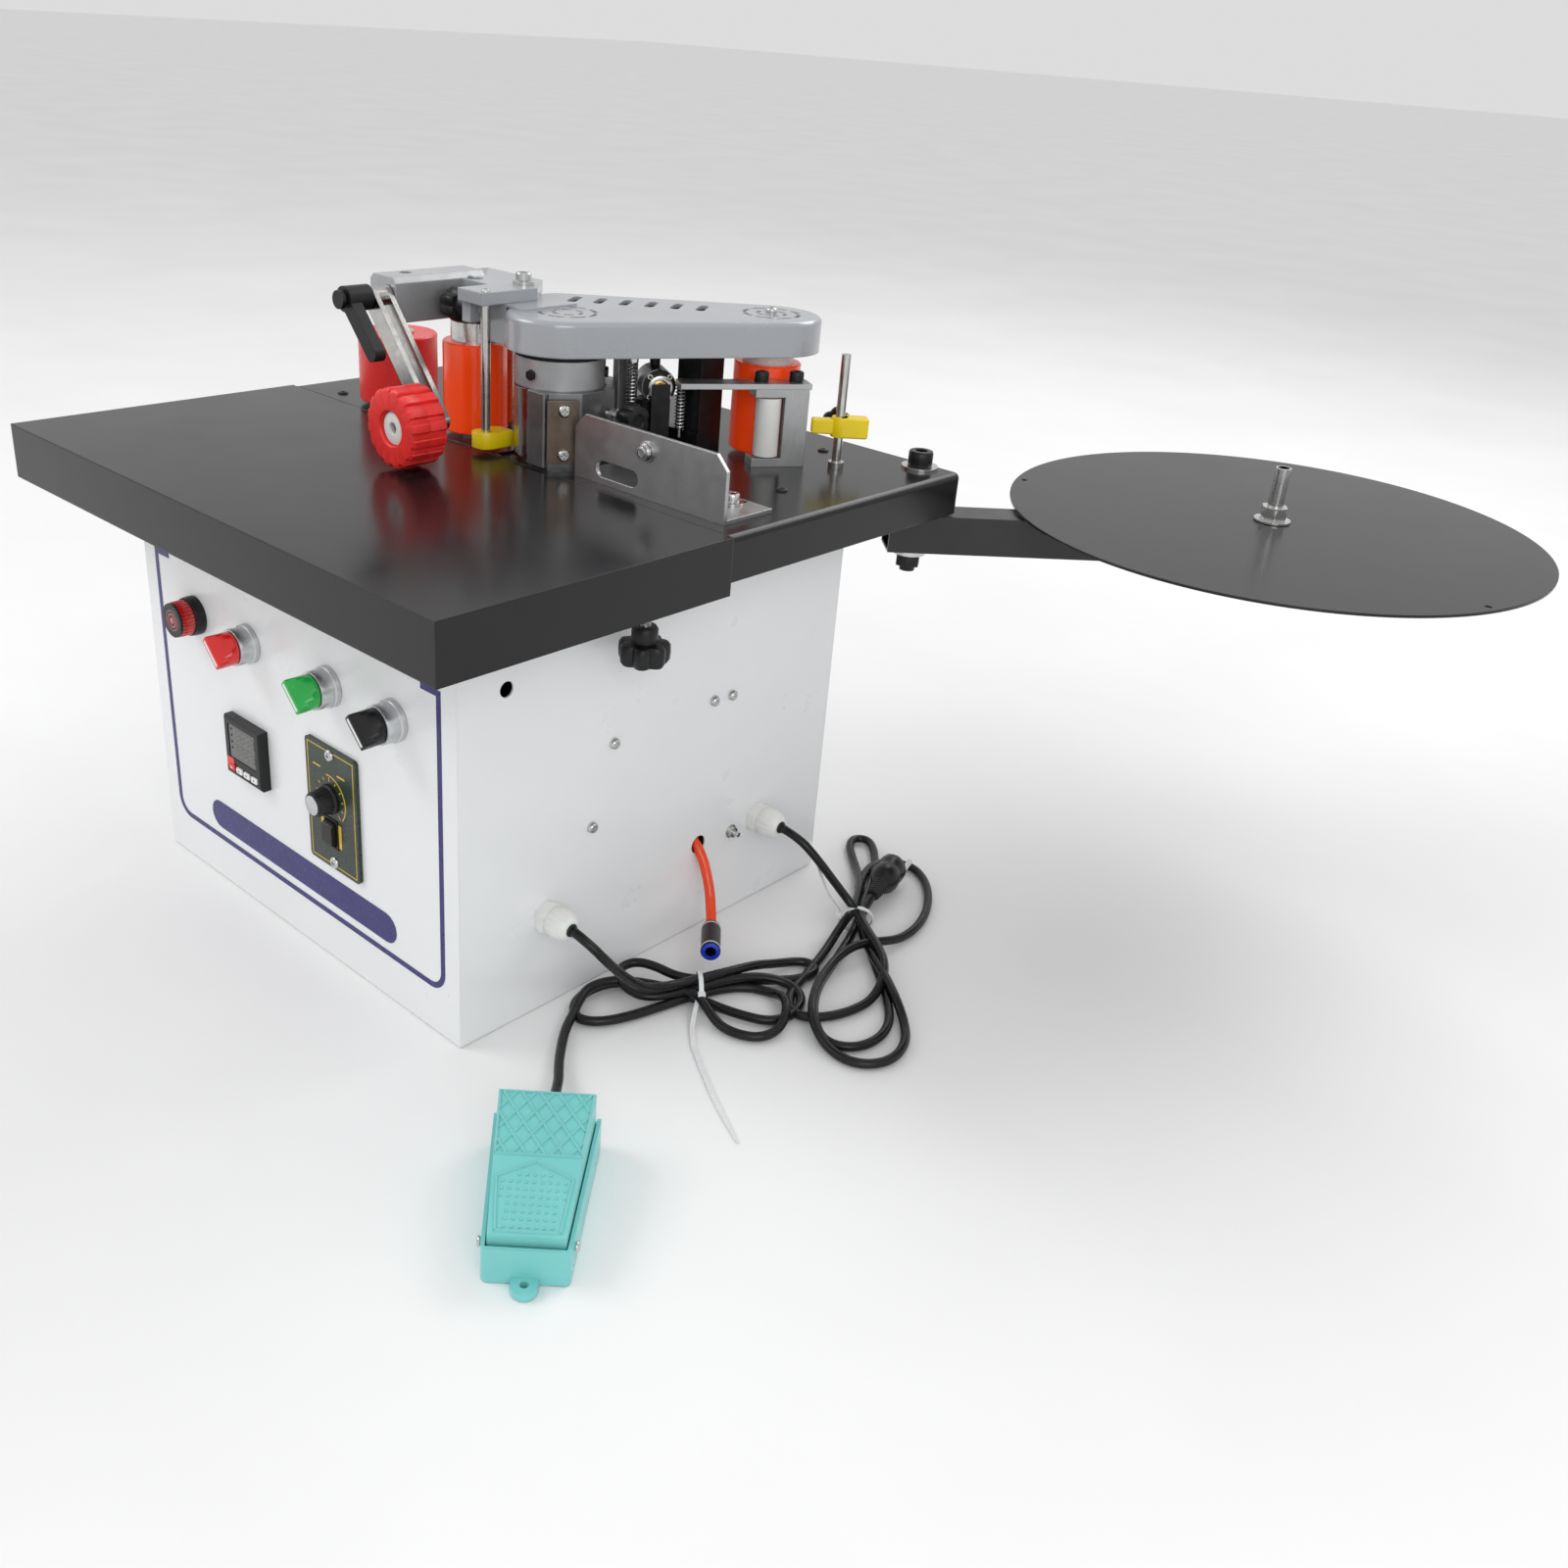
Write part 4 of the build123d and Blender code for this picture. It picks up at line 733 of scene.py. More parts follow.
def cutter():
    paint("cutter_frame", "black_plastic", black_steel, (block_metal, lambda c: c.x < 62.2 and c.y < 86))
    paint("cutter_cylinder", "aluminium", block_metal, (black_plastic, lambda c: c.z > 413.5))
    paint("cutter_blade", "steel", black_steel)
    at = facing(cut_mid, across_dir)
    bm = bmesh.new()
    lathe(bm, [(6.2, 5.0), (9.4, 5.2), (9.4, 7.6), (8.8, 8.0), (6.2, 8.0)], at, n=40, loop=True)
    for k in range(4):
        a = math.radians(45 + 90 * k)
        cap_head(bm, 2.1, 2.0, at @ shift(10.6 * math.cos(a), 10.6 * math.sin(a), 2.0))
    piece("cylinder_ring", "cabinet", "steel", bm, steel)
    turned("cylinder_bush", "cabinet", "aluminium", brass, [(3.3, 5.0), (5.8, 5.0), (5.8, 6.6), (5.2, 7.0),
           (3.3, 7.0)], at, n=32, loop=True)
    turned("cylinder_seal", "cabinet", "black_plastic", black_plastic, [(9.6, 2.1), (12.4, 2.1),
           (12.4, 3.1), (11.8, 3.6), (9.6, 3.6)], at, n=48, loop=True)
    bm = bmesh.new()
    for x, y, z0, z1 in ((70, 70, 384, 420), (96, 96, 372, 404)):
        coil(bm, 3.6, 0.7, z0, z1, 2.6, shift(x, y, 0))
        lathe(bm, [(1.4, z0 - 6), (1.4, z1 + 6)], shift(x, y, 0), n=20)
    hex_nut(bm, 4.6, 4.0, shift(96, 96, 404))
    hex_nut(bm, 4.6, 4.0, shift(70, 70, 420))
    piece("cutter_springs", "cabinet", "steel", bm, steel)


cutter()

# ---- reel
reel_at = (420.0, 440.0)


def reel():
    on_spindle = near(*reel_at, 12.2)
    pad = near(*reel_at, 21)
    paint("reel_arm", "black_paint", tube_paint, (steel, lambda c: pad(c) and c.z > 316.2),
          (steel, lambda c: on_spindle(c) and c.z < 285.8))
    paint("reel_disc", "black_paint", black_paint)
    at = shift(*reel_at, 0)
    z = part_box("reel_disc")[1].z / MM
    bm = bmesh.new()
    thread(bm, 6.05, z + 10, 362.4, 1.5, at)
    lathe(bm, [(5.2, 362.2), (4.4, 363)], at)
    hex_nut(bm, 10.6, 9.6, at @ shift(0, 0, z + 2.3))
    lathe(bm, [(6.2, 0), (14, 0), (14, 1.6), (6.2, 1.6)], at @ shift(0, 0, z + 0.4), loop=True)
    piece("reel_spindle_trim", "reel_arm", "steel", bm, steel)


reel()

# ---- operator panel
lamp_at = (-120.0, 225.0)
selectors = {"power": ((-48.0, 225.0), red_plastic, "red_plastic"),
             "motor": ((52.0, 226.0), green_plastic, "green_plastic"),
             "mode": ((125.0, 227.0), black_plastic, "black_plastic")}


def on_panel(x, z, lift=0.0):
    """Frame on the operator panel: X to the right, Y up, Z out towards the operator."""
    out = Matrix(((1, 0, 0, x), (0, 0, -1, panel_y - lift), (0, 1, 0, z), (0, 0, 0, 1)))
    return out


def lamp():
    paint("panel_fittings", "chrome", chrome, (black_plastic, lambda c: c.x < -100),
          (black_plastic, lambda c: c.y > panel_y + 0.4))
    bm = bmesh.new()

    def flutes(a):
        return 1.0 + 0.02 * math.cos(30 * a)
    at = on_panel(*lamp_at)
    lathe(bm, [(12.2, 8.0), (13.2, 8.4, flutes), (13.2, 17.6, flutes), (12.2, 19.4), (10.4, 20.0),
               (9.4, 19.6), (7.6, 20.1), (6.6, 19.7), (4.8, 20.15), (3.8, 19.8), (1.2, 20.2)], at, n=120)
    piece("pilot_lens", "cabinet", "red_plastic", bm, lens_red)
    turned("pilot_bezel", "cabinet", "black_plastic", black_plastic, [(14.7, 0), (14.9, 1.0), (14.9, 5.6),
           (14.0, 8.2), (11.4, 8.2), (11.4, 0)], at, n=64, loop=True)


def selector(name, centre, mat, slot):
    body = name + "_selector"
    at = on_panel(*centre)
    bm = bmesh.new()
    lathe(bm, [(14.3, 0), (14.8, 0.6), (14.8, 3.6), (14.1, 4.2), (13.7, 4.4), (13.6, 13.6), (12.9, 14.55),
               (11.4, 14.6), (11.4, 0)], at, n=96, loop=True)
    slab(bm, 1.2, 3.6, 0.5, at @ shift(0, 13.4, 9.0), corner=0.4, ease=0.1)
    piece(name + "_bezel", "cabinet", "chrome", bm, chrome)
    bm = bmesh.new()
    turn = at @ spin(45)
    foot, r, ridge, shoulder, deep = 14.8, 12.3, 3.0, 2.5, 16.0
    rings = []
    for z, shrink in ((0, 0.5), (0.5, 0), (shoulder, 0), (6, 0), (10, 0), (deep - 0.8, 0), (deep, 0.7)):
        half = r if z <= shoulder else r + (ridge - r) * (z - shoulder) / (deep - shoulder)
        out = r - shrink
        reach = half - shrink * 0.6
        rings.append([Vector((max(-reach, min(reach, out * math.cos(math.tau * k / 96))),
                              out * math.sin(math.tau * k / 96), foot + z)) for k in range(96)])
    loft(bm, rings, turn)
    handle = piece(body + "_handle", body, slot, bm, mat, sharp=24.0)
    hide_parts(body)
    bm = bmesh.new()
    slab(bm, 2.2, 21.0, 0.5, turn @ shift(0, 0, foot + deep - 0.2), corner=0.5, ease=0.15)
    piece(body + "_mark", body, "white_plastic", bm, white_print)


def digit(bm, at, x, y, w, h):
    """Seven dark segments of an unlit digit."""
    t, gap, thick = 0.9, 1.1, 0.12
    for dy in (h / 2, 0, -h / 2):
        slab(bm, w - gap, t, thick, at @ shift(x, y + dy, 0), corner=0.3, ease=0.04)
    for dy in (h / 4, -h / 4):
        for dx in (-w / 2, w / 2):
            slab(bm, t, h / 2 - gap, thick, at @ shift(x + dx, y + dy, 0), corner=0.3, ease=0.04)


def temp_controller():
    x, z = -56.0, 136.0
    paint("temp_controller", "black_plastic", black_plastic)
    at = on_panel(x, z)
    bm = bmesh.new()
    slab(bm, 35.6, 27.6, 0.5, at @ shift(0, 5, 7.0), corner=1.0, ease=0.15)
    piece("controller_window", "cabinet", "black_plastic", bm, screen)
    bm = bmesh.new()
    for row, h in ((11.6, 11.0), (-0.6, 9.4)):
        slab(bm, 27.0, h, 0.2, at @ shift(3.0, row, 7.45), corner=0.8, ease=0.06)
    piece("controller_displays", "cabinet", "black_plastic", bm, window_tint)
    bm = bmesh.new()
    face = at @ shift(0, 0, 7.6)
    for row, h in ((11.6, 7.6), (-0.6, 6.4)):
        for k in range(4):
            digit(bm, face, -6.0 + 6.6 * k, row, 4.4, h)
    for k in range(4):
        lathe(bm, [(0.9, 0), (0.9, 0.3), (0.5, 0.45)], face @ shift(-14.4, 15 - 5.2 * k, 0), n=20)
    piece("controller_digits", "cabinet", "black_plastic", bm, unlit)
    bm = bmesh.new()
    slab(bm, 9.5, 8.0, 0.4, at @ shift(-17.2, -13.2, 7.9), corner=0.8, ease=0.12)
    piece("controller_badge", "cabinet", "red_plastic", bm, red_plastic)
    for k, name in enumerate(("key_set", "key_shift", "key_down", "key_up")):
        lo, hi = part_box(name)
        c = (lo + hi) / 2 / MM
        key = on_panel(c.x, c.z)
        bm = bmesh.new()
        slab(bm, 7.9, 4.9, 3.6, key @ shift(0, 0, 5.6), corner=1.2, ease=0.5)
        cap = piece(name + "_cap", name, "white_plastic", bm, red_plastic if k == 0 else white_plastic)
        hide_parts(name)
        bm = bmesh.new()
        turn = {"key_set": 45, "key_shift": 90, "key_down": 180, "key_up": 0}[name]
        sides = 4 if k == 0 else 3
        lathe(bm, [(1.1, 9.15), (1.1, 9.3)], key @ spin(turn + 90), n=sides)
        piece(name + "_sign", name, "black_plastic", bm, white_print if k == 0 else black_plastic)


def speed_controller():
    x, z = 52.0, 131.0
    paint("speed_controller", "black_plastic", plate_print, (black_plastic, lambda c: c.y > panel_y + 0.3))
    knob_x, knob_z = 50.0, 139.0
    plate = on_panel(x, z, 3.0)
    bm = bmesh.new()
    for dz in (-43, 43):
        pan_head(bm, 4.5, 2.0, plate @ shift(0, dz, 0))
    piece("speed_plate_screws", "cabinet", "steel", bm, steel)
    bm = bmesh.new()
    dial = on_panel(knob_x, knob_z, 3.0)
    for k in range(11):
        long = 3.6 if k % 5 == 0 else 2.4
        spot = dial @ spin(225 - 27 * k) @ shift(15.4, 0, 0)
        slab(bm, long, 0.8, 0.15, spot, corner=0.25, ease=0.04)
    arc = [(18.6 * math.cos(math.radians(100 - 10 * k)), 18.6 * math.sin(math.radians(100 - 10 * k)))
           for k in range(15)]
    ribbon(bm, arc, 0.9, 0.15, dial)
    frame_w, frame_h = 27.0, 45.5
    path = [(-frame_w, -frame_h), (frame_w, -frame_h), (frame_w, frame_h), (-frame_w, frame_h)]
    ribbon(bm, path, 0.7, 0.12, plate, closed=True)
    for side in (-1, 1):
        slab(bm, 3.4, 19, 0.2, plate @ shift(-2 + side * 10.5, -19, 0), corner=0.6, ease=0.05)
        slab(bm, 9, 1.2, 0.15, plate @ shift(-2 + side * 14.5, 30, 0), corner=0.3, ease=0.05)
    piece("speed_plate_marks", "cabinet", "yellow_plastic", bm, yellow_print)
    at = on_panel(knob_x, knob_z)
    bm = bmesh.new()

    def flutes(a):
        return 1.0 - 0.035 * (0.5 + 0.5 * math.cos(24 * a)) ** 2
    lathe(bm, [(11.2, 3.4), (11.2, 5.0), (10.2, 6.0, flutes), (9.2, 16.8, flutes), (8.4, 17.8),
               (7.6, 18.0)], at, n=144)
    grip = piece("speed_knob_grip", "speed_knob", "black_plastic", bm, black_plastic)
    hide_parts("speed_knob")
    bm = bmesh.new()
    lathe(bm, [(7.4, 17.9), (7.3, 18.35), (6.8, 18.6), (0.5, 18.3)], at, n=48)
    slab(bm, 1.2, 3.4, 0.4, at @ shift(0, 9.0, 4.9), corner=0.3, ease=0.1)
    piece("speed_knob_cap", "speed_knob", "aluminium", bm, chrome)
    paint("power_rocker", "black_plastic", black_plastic)
    rx, rz = 50.0, 112.0
    rim = on_panel(rx, rz, 3.0)
    bm = bmesh.new()
    outline = [(-7.4, -11), (7.4, -11), (7.4, 11), (-7.4, 11)]
    ribbon(bm, outline, 1.4, 0.8, rim, closed=True)
    piece("rocker_rim", "cabinet", "black_plastic", bm, black_plastic)


lamp()
for selector_name, (centre, mat, slot) in selectors.items():
    selector(selector_name, centre, mat, slot)
temp_controller()
speed_controller()

# ---- cable glands and cords
gland_z = 76.0
gland_y = {"pedal": -113.0, "mains": 110.5}


def gland(name, y):
    at = facing((half_w, y, gland_z), (1, 0, 0))
    bm = bmesh.new()

    def shy(a):
        return min(hexed(a), 0.94)

    def ribs(a):
        return 1.0 - 0.035 * (0.5 + 0.5 * math.cos(14 * a)) ** 3
    lathe(bm, [(8, -12), (8, -0.2), (12.9, 0, shy), (12.9, 1.0, hexed), (12.9, 6.6, hexed), (12.9, 7.6, shy),
               (10.2, 7.9), (10.2, 9.2), (11.0, 9.4, ribs), (11.4, 10.2, ribs), (11.4, 16.8, ribs),
               (10.4, 20.4, ribs), (8.6, 24.2), (7.2, 25.8), (5.0, 26.4), (4.6, 25.0)], at, n=168)
    hex_nut(bm, 11.5, 6, at @ shift(0, 0, -8.4))
    made = piece("gland_" + name, "cabinet", "white_plastic", bm, white_plastic)
    seal = turned("gland_seal_" + name, "cabinet", "black_plastic", black_plastic, [(4.9, 22.0),
                  (4.9, 26.6), (4.5, 27.4), (3.9, 28.0), (3.6, 27.9)], at, n=40)
    return made, seal


def spline(name, points, r, mat):
    """Smooth cord or hose along control points in millimetres."""
    curve = bpy.data.curves.new(name, "CURVE")
    curve.dimensions = "3D"
    curve.bevel_depth = r * MM
    curve.bevel_resolution = 6
    curve.resolution_u = 10
    curve.use_fill_caps = True
    line = curve.splines.new("NURBS")
    line.points.add(len(points) - 1)
    for point, p in zip(line.points, points):
        point.co = (p[0] * MM, p[1] * MM, p[2] * MM, 1)
    line.order_u = 3
    line.use_endpoint_u = True
    curve.materials.append(mat)
    obj = bpy.data.objects.new(name, curve)
    bpy.context.scene.collection.objects.link(obj)
    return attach(obj, "cabinet")


pedal_route = [
    # gland to the bundle
    (218, -113, 76), (232, -112, 73), (243, -102, 57), (246, -86, 38), (249, -68, 23), (253, -44, 17),
    (260, -20, 16),
    # long slim lobe towards the back
    (267, 4, 15), (271, 26, 12), (275, 46, 6), (280, 60, 4), (288, 68, 4), (298, 66, 4), (301, 55, 4),
    (295, 40, 4), (281, 22, 5), (268, -2, 10), (254, -20, 11),
    # small lobe on top at the gland side
    (240, -30, 12), (222, -33, 13), (208, -38, 12), (204, -49, 11), (210, -60, 11), (226, -67, 11),
    (242, -64, 10), (253, -46, 10), (260, -24, 10),
    # middle lobe
    (270, 0, 11), (282, 20, 10), (296, 33, 6), (311, 32, 4), (321, 20, 4), (324, 3, 4), (317, -12, 4),
    (302, -21, 5), (284, -27, 5), (266, -29, 4),
    # large lobe towards the operator
    (246, -38, 4), (226, -46, 4), (209, -59, 4), (203, -77, 4), (205, -96, 4), (214, -108, 4),
    (226, -111, 4), (238, -100, 4), (247, -78, 4), (253, -54, 4), (259, -30, 4),
    # widest lobe
    (268, -6, 4), (280, 10, 4), (296, 17, 4), (311, 13, 10), (324, 0, 11), (330, -15, 5), (326, -31, 4),
    (312, -40, 4), (296, -42, 4), (280, -38, 9), (264, -32, 11),
    # tail to the pedal
    (246, -42, 10), (226, -53, 10), (211, -68, 11), (206, -86, 10), (212, -100, 8), (219, -112, 6),
    (227, -126, 6), (240, -142, 6), (255, -158, 7), (274, -175, 10), (291, -197, 14)]

mains_route = [
    # gland to the bundle
    (218, 110.5, 76), (234, 112, 74), (250, 119, 58), (262, 129, 38), (272, 137, 22), (286, 134, 16),
    # short lobe towards the operator, on top
    (302, 124, 14), (320, 114, 13), (336, 101, 12), (347, 84, 9), (352, 64, 4), (350, 44, 4), (344, 27, 4),
    (334, 13, 4), (320, 9, 4), (309, 20, 4), (303, 34, 4), (299, 50, 4), (294, 68, 4), (286, 94, 4),
    (278, 120, 9), (272, 144, 12),
    # slim lobe towards the back
    (260, 166, 11), (243, 190, 8), (224, 210, 4), (206, 226, 4), (195, 238, 4), (192, 249, 4), (200, 256, 4),
    (211, 251, 4), (225, 236, 4), (243, 211, 5), (259, 182, 8), (270, 160, 11), (283, 139, 10),
    # long lobe towards the operator
    (300, 124, 8), (320, 108, 5), (342, 90, 4), (362, 72, 4), (377, 54, 4), (384, 34, 4), (381, 14, 4),
    (369, 2, 4), (354, 2, 4), (341, 10, 9), (329, 24, 10), (318, 43, 9), (308, 66, 5), (298, 94, 4),
    (288, 122, 4), (276, 146, 4),
    # round lobe beside the plug
    (262, 166, 4), (247, 186, 4), (236, 206, 5), (232, 226, 5), (240, 242, 4), (256, 248, 4), (274, 240, 4),
    (292, 222, 4), (307, 198, 4), (316, 172, 4), (317, 148, 4), (312, 126, 9), (305, 106, 12), (304, 84, 10),
    # outer lobe
    (311, 58, 10), (322, 34, 12), (335, 14, 13), (350, 0, 10), (368, -5, 4), (387, -5, 4), (400, 6, 4),
    (405, 22, 4), (400, 42, 4), (386, 60, 4), (366, 75, 9), (344, 90, 11), (324, 104, 9), (304, 120, 6),
    (288, 134, 6), (276, 150, 10), (271, 172, 15)]

hose_route = [(163, 43, 93), (192, 43, 73.7), (206, 41, 46), (217, 33, 29), (225, 25, 22)]
cord_d, hose_d = 7.0, 8.0


def tie(name, at, run, half_w, half_h, tail, end_turn):
    """Nylon tie round a bundle at a point, with its head and a tail that lies along points."""
    run = Vector(run).normalized()
    side = Vector((0, 0, 1)).cross(run)
    mid = Vector(at)
    n = 40
    rings = []
    for i in range(n):
        a = math.tau * i / n
        out = side * math.cos(a) * half_w + Vector((0, 0, 1)) * math.sin(a) * half_h
        grow = out.normalized() * 0.6
        rings.append([mid + out - run * 1.7, mid + out + run * 1.7, mid + out + grow * 2 + run * 1.7,
                      mid + out + grow * 2 - run * 1.7])
    bm = bmesh.new()
    loft(bm, rings, loop=True)
    head_at = mid + side * end_turn * (half_w + 1.5) + Vector((0, 0, half_h * 0.25))
    slab(bm, 5.6, 5.2, 4.6, facing(head_at - Vector((0, 0, 2)), (0, 0, 1), run), corner=1.0, ease=0.5)
    strip = []
    for k, p in enumerate(tail):
        a = Vector(tail[max(k - 1, 0)])
        b = Vector(tail[min(k + 1, len(tail) - 1)])
        ahead = (b - a).normalized()
        flat = ahead.cross(Vector((0, 0, 1))).normalized()
        w = 1.75 if k < len(tail) - 2 else (1.4 if k < len(tail) - 1 else 0.7)
        q = Vector(p)
        up = Vector((0, 0, 0.55))
        strip.append([q - flat * w - up, q + flat * w - up, q + flat * w + up, q - flat * w + up])
    loft(bm, strip)
    return piece(name, "cabinet", "white_plastic", bm, tie_plastic)


def plug():
    root = Vector((271, 172, 15))
    nose = Vector((256, 218, 15))
    at = facing(root, nose - root)
    long = (nose - root).length

    def oval(a):
        return 1.0 - 0.10 * abs(math.sin(a)) ** 2
    bm = bmesh.new()
    profile = [(3.6, -4.0), (4.6, -3.6)]
    for k in range(6):
        z = -2.0 + 3.0 * k
        grow = 4.5 + 0.34 * k
        profile += [(grow, z), (grow + 0.9, z + 0.4), (grow + 0.9, z + 1.5), (grow, z + 1.9)]
    profile += [(8.0, 17.5), (10.5, 20.0, oval), (12.6, 24.0, oval), (13.3, 30.0, oval), (12.2, 34.0, oval),
                (12.0, 37.0, oval), (13.3, 41.0, oval), (13.3, long - 1.2, oval), (12.4, long, oval)]
    lathe(bm, profile, at, n=56)
    made = piece("mains_plug_body", "cabinet", "black_plastic", bm, black_plastic)
    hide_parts("mains_plug")
    bm = bmesh.new()
    side = (nose - root).normalized().cross(Vector((0, 0, 1)))
    for k in (-1, 1):
        pin = facing(nose + side * 9.5 * k, nose - root)
        lathe(bm, [(2.4, -1), (2.4, 16.5), (1.9, 18.4), (0.9, 19.0)], pin, n=24)
    pins = piece("mains_plug_pins", "cabinet", "steel", bm, steel)
    return made, pins


def fitting():
    paint("hose_fitting", "black_plastic", black_plastic)
    a = Vector(hose_route[-1])
    at = facing(a, (0.66, -0.74, 0.09))
    bm = bmesh.new()
    for z0, z1 in ((-1.6, 0.3), (35.8, 37.4)):
        lathe(bm, [(4.2, z0), (6.6, z0), (7.0, z0 + 0.3), (7.0, z1 - 0.3), (6.6, z1), (4.2, z1)], at,
              loop=True)
    rings = piece("fitting_collets", "cabinet", None, bm, blue_plastic)
    bm = bmesh.new()
    for z0, z1 in ((1.6, 2.8), (33.0, 34.2)):
        lathe(bm, [(7.4, z0), (7.7, z0 + 0.2), (7.7, z1 - 0.2), (7.4, z1)], at, loop=True)
    bands = piece("fitting_bands", "cabinet", "steel", bm, white_print)
    return rings, bands


def cords():
    glands = {name: gland(name, y) for name, y in gland_y.items()}
    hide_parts("cable_glands")
    pedal = spline("pedal_cord", pedal_route, cord_d / 2, cord_sheath)
    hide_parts("pedal_cord_lead", "pedal_cord_hank", "pedal_cord_tail")
    pedal_tie = tie("pedal_tie", (260, -24, 9.6), (0.67, 0.75, 0), 13.0, 9.4,
                    [(269, -35, 9), (276, -46, 6), (284, -57, 2), (298, -70, 0.7), (318, -83, 0.7),
                     (344, -99, 0.7), (366, -111, 0.7), (386, -121, 0.7)], -1)
    mains = spline("mains_cord", mains_route, cord_d / 2, cord_sheath)
    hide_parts("mains_cord_lead", "mains_cord_hank")
    mains_tie = tie("mains_tie", (281, 136, 10.5), (0.69, -0.72, 0), 13.0, 10.0,
                    [(271, 128, 16), (262, 122, 30), (253, 120, 46), (246, 119, 62), (240, 118, 72)], -1)
    body, pins = plug()
    hose = spline("air_hose_line", hose_route, hose_d / 2, hose_plastic)
    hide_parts("air_hose")
    collets, bands = fitting()


cords()

# ---- pedal
pedal_frame = shift(303, -210, 0) @ spin(-47.7)
pedal_long = 118.0


def treadle_top(x):
    """Height of the treadle's upper face at a station from its back."""
    if x < 60:
        return 46.0 - 5.0 * x / 60
    return 41.0 - 11.0 * (x - 60) / 58


def treadle_half(x):
    """Half the treadle's width at a station."""
    return (68.0 - 17.0 * x / pedal_long) / 2 - 3.3


def rib(bm, p, q, wide, high, steps=3, sink=0.4):
    """Raised bar on the treadle's face between two stations (x, y)."""
    run = Vector((q[0] - p[0], q[1] - p[1], 0)).normalized()
    side = Vector((-run.y, run.x, 0)) * wide / 2
    rings = []
    for s in range(steps + 1):
        x = p[0] + (q[0] - p[0]) * s / steps
        y = p[1] + (q[1] - p[1]) * s / steps
        z = treadle_top(x)
        mid = Vector((x, y, z))
        up, down = Vector((0, 0, high)), Vector((0, 0, sink))
        rings.append([mid - side - down, mid + side - down, mid + side * 0.55 + up, mid - side * 0.55 + up])
    loft(bm, rings, pedal_frame)


def treadle_pattern():
    """Diamond ribs on the heel half, a dotted field inside a five-sided frame on the toe half."""
    bm = bmesh.new()
    first, last = 7.5, 57.5
    slope = 0.62
    for sign in (-1, 1):
        for k in range(-6, 7):
            points = []
            for s in range(41):
                x = first + (last - first) * s / 40
                y = sign * slope * (x - (first + last) / 2) + 11.5 * k
                if abs(y) < treadle_half(x) - 1.2:
                    points.append((x, y))
            if len(points) > 3:
                rib(bm, points[0], points[-1], 2.2, 1.15, steps=4)
    for x in (first - 0.6, last + 0.6):
        w = treadle_half(x) - 0.8
        rib(bm, (x, -w), (x, w), 2.0, 1.1)
    for side in (-1, 1):
        start = (first, side * (treadle_half(first) - 1.0))
        end = (last, side * (treadle_half(last) - 1.0))
        rib(bm, start, end, 2.0, 1.1)
    corners = [(63.0, 0), (74.0, 22.5), (110.0, 18.5), (110.0, -18.5), (74.0, -22.5)]
    for a, b in zip(corners, corners[1:] + corners[:1]):
        rib(bm, a, b, 2.0, 1.1)
    for i in range(8):
        x = 72.0 + 5.0 * i
        for j in range(-4, 5):
            y = 4.6 * j
            if abs(y) < 19.6 - 3.2 * (x - 74) / 36 and (x > 63 + 0.49 * abs(y) + 4):
                at = pedal_frame @ shift(x, y, treadle_top(x) - 0.2)
                lathe(bm, [(1.15, 0), (1.0, 0.6), (0.6, 0.95), (0.2, 1.05)], at, n=12)
    piece("treadle_pattern", "pedal_treadle", "teal_plastic", bm, teal_plastic)


def pedal():
    paint("pedal_treadle", "teal_plastic", teal_plastic)
    paint("pedal_base", "teal_plastic", teal_plastic)
    treadle_pattern()
    bm = bmesh.new()
    for side in (-1, 1):
        y = side * 27.7
        at = facing(pedal_frame @ Vector((104, y, 17)), (pedal_frame.to_3x3() @ Vector((0.1, side, 0))))
        pan_head(bm, 3.4, 1.8, at)
    piece("pedal_pin_heads", "cabinet", "steel", bm, steel)
    bm = bmesh.new()
    root = pedal_frame @ Vector((-1, 0, 14))
    back = pedal_frame.to_3x3() @ Vector((-1, 0, 0))
    lathe(bm, [(6.4, 0), (6.2, 4), (5.6, 9), (5.0, 14), (4.4, 19), (3.9, 22), (3.4, 22.4)],
          facing(root, back), n=32)
    piece("pedal_cord_relief", "cabinet", "black_plastic", bm, black_plastic)


pedal()

# ---- floor, light and camera


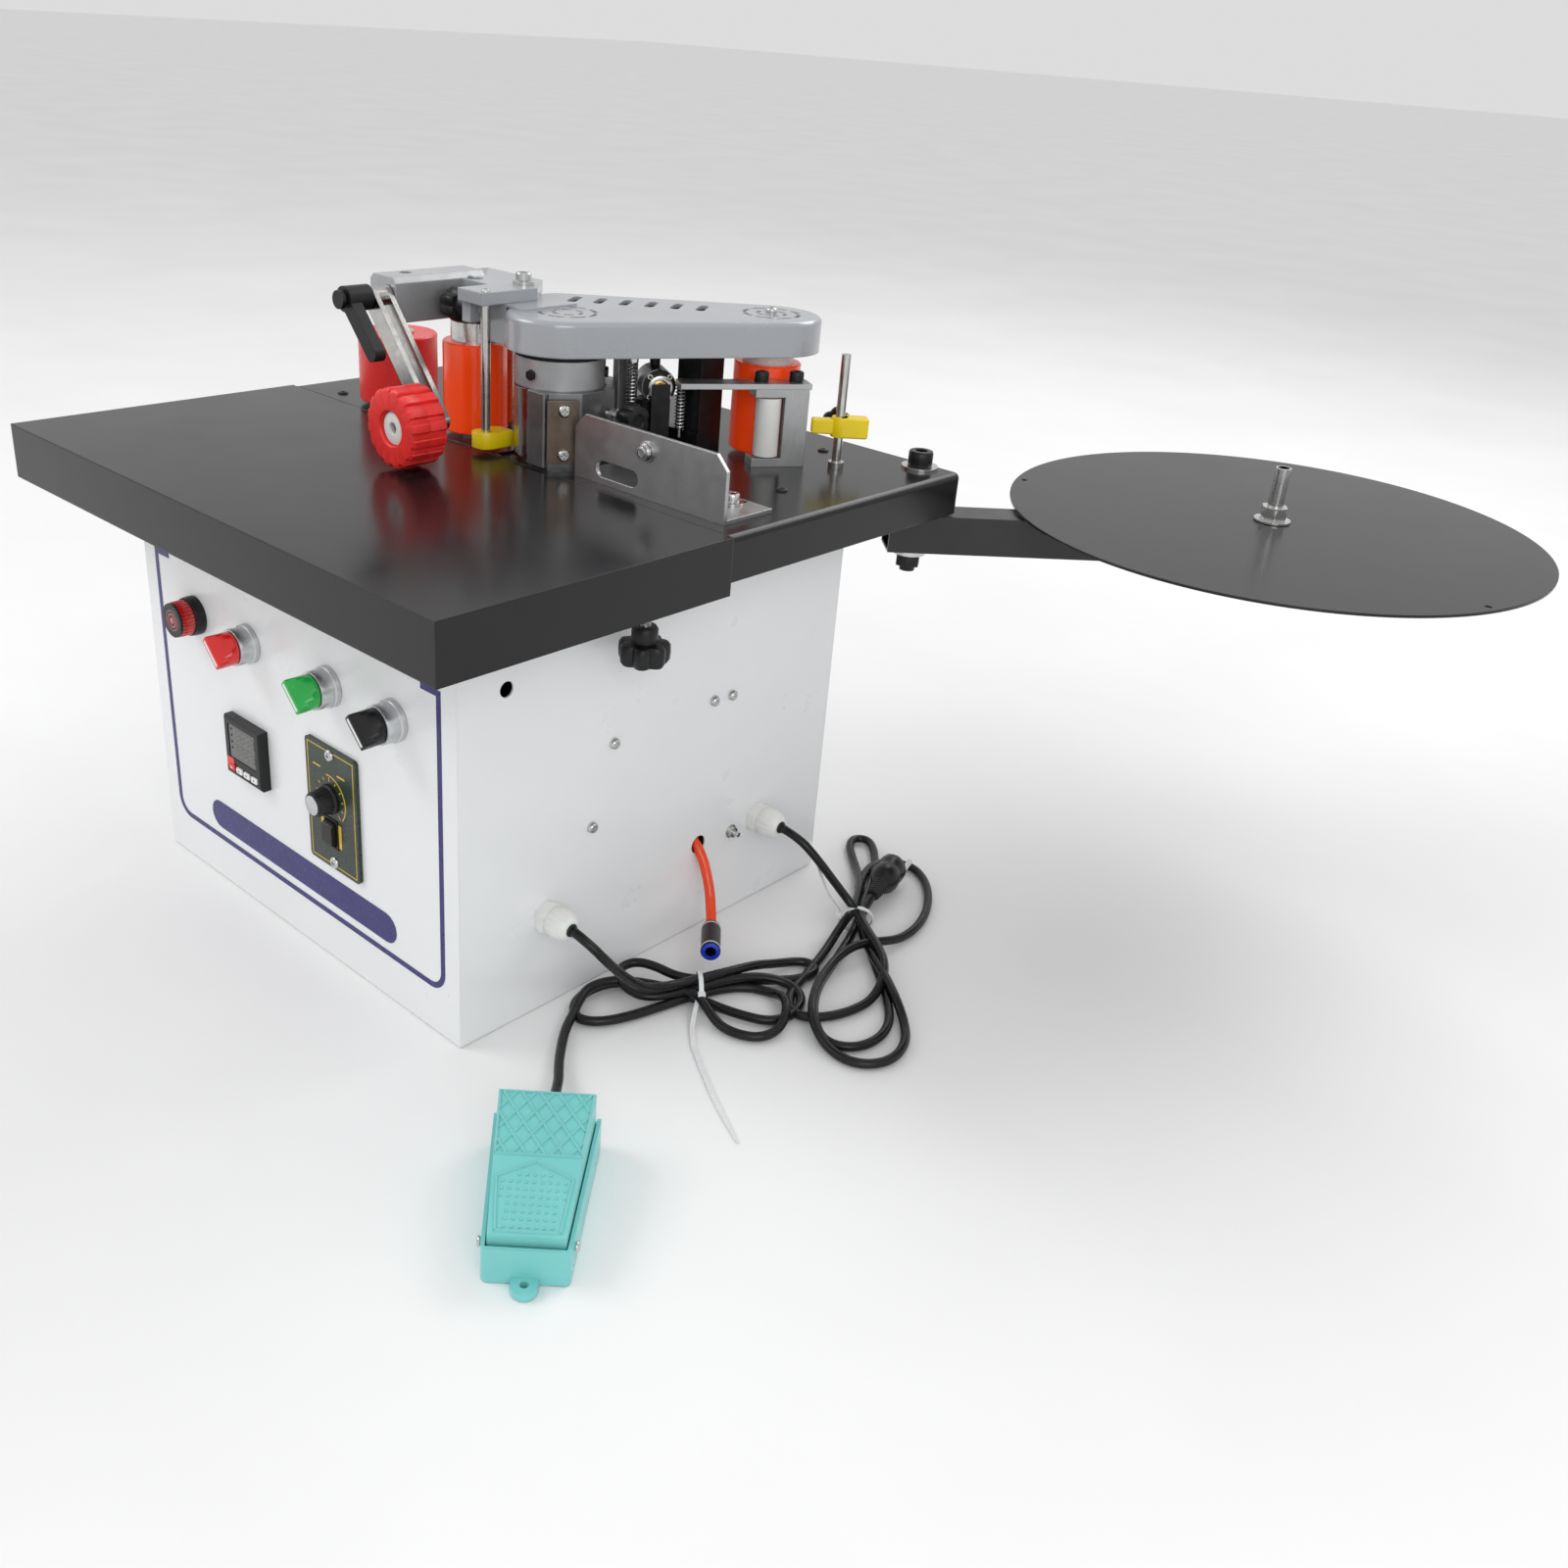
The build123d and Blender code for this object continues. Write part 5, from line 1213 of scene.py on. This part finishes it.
def stage():
    g = Graph("pale_floor")
    speck = g.mix(g.spread(g.noise(300.0, 4.0), 0.0, 1.0), (0.86, 0.86, 0.865), (0.90, 0.90, 0.90))
    g.tree.links.new(speck, g.shader.inputs["Base Color"])
    g.shader.inputs["Roughness"].default_value = 0.7
    bm = bmesh.new()
    bmesh.ops.create_grid(bm, x_segments=1, y_segments=1, size=30.0)
    mesh = bpy.data.meshes.new("floor")
    bm.to_mesh(mesh)
    bm.free()
    mesh.materials.append(g.material)
    floor = bpy.data.objects.new("floor", mesh)
    bpy.context.scene.collection.objects.link(floor)
    floor.location.z = -0.0005


def softbox(name, at, aim, size, power):
    data = bpy.data.lights.new(name, "AREA")
    data.shape = "RECTANGLE"
    data.size, data.size_y = size
    data.energy = power
    lamp_obj = bpy.data.objects.new(name, data)
    bpy.context.scene.collection.objects.link(lamp_obj)
    lamp_obj.location = at
    lamp_obj.rotation_euler = (Vector(aim) - Vector(at)).to_track_quat("-Z", "Y").to_euler()


def lights():
    world = bpy.data.worlds.new("studio")
    bpy.context.scene.world = world
    world.use_nodes = True
    back = world.node_tree.nodes["Background"]
    back.inputs["Color"].default_value = (1.0, 1.0, 1.0, 1)
    back.inputs["Strength"].default_value = 0.72
    aim = (0.1, 0.0, 0.25)
    softbox("key", (-1.6, -1.6, 2.2), aim, (1.6, 1.2), 24)
    softbox("fill", (2.4, -1.6, 1.6), aim, (1.8, 1.4), 20)
    softbox("back_top", (0.2, 2.2, 2.2), aim, (2.4, 1.0), 26)


def camera():
    yaw, pitch, roll = 0.723, 0.448, -0.068
    ahead = Vector((-math.sin(yaw) * math.cos(pitch), math.cos(yaw) * math.cos(pitch), -math.sin(pitch)))
    right = Vector((math.cos(yaw), math.sin(yaw), 0))
    down = ahead.cross(right)
    x_axis = math.cos(roll) * right + math.sin(roll) * down
    y_axis = math.sin(roll) * right - math.cos(roll) * down
    data = bpy.data.cameras.new("camera")
    data.lens = 34.34
    data.sensor_width = 36.0
    data.shift_x = 0.0504
    data.shift_y = -0.0289
    data.clip_start = 0.01
    data.clip_end = 100
    cam = bpy.data.objects.new("camera", data)
    bpy.context.scene.collection.objects.link(cam)
    turn = Matrix((x_axis, y_axis, -ahead)).transposed().to_4x4()
    bpy.context.scene.view_settings.view_transform = "Standard"
    cam.matrix_world = shift(0.85688, -0.71330, 0.65007) @ turn
    bpy.context.scene.camera = cam


stage()
lights()
camera()
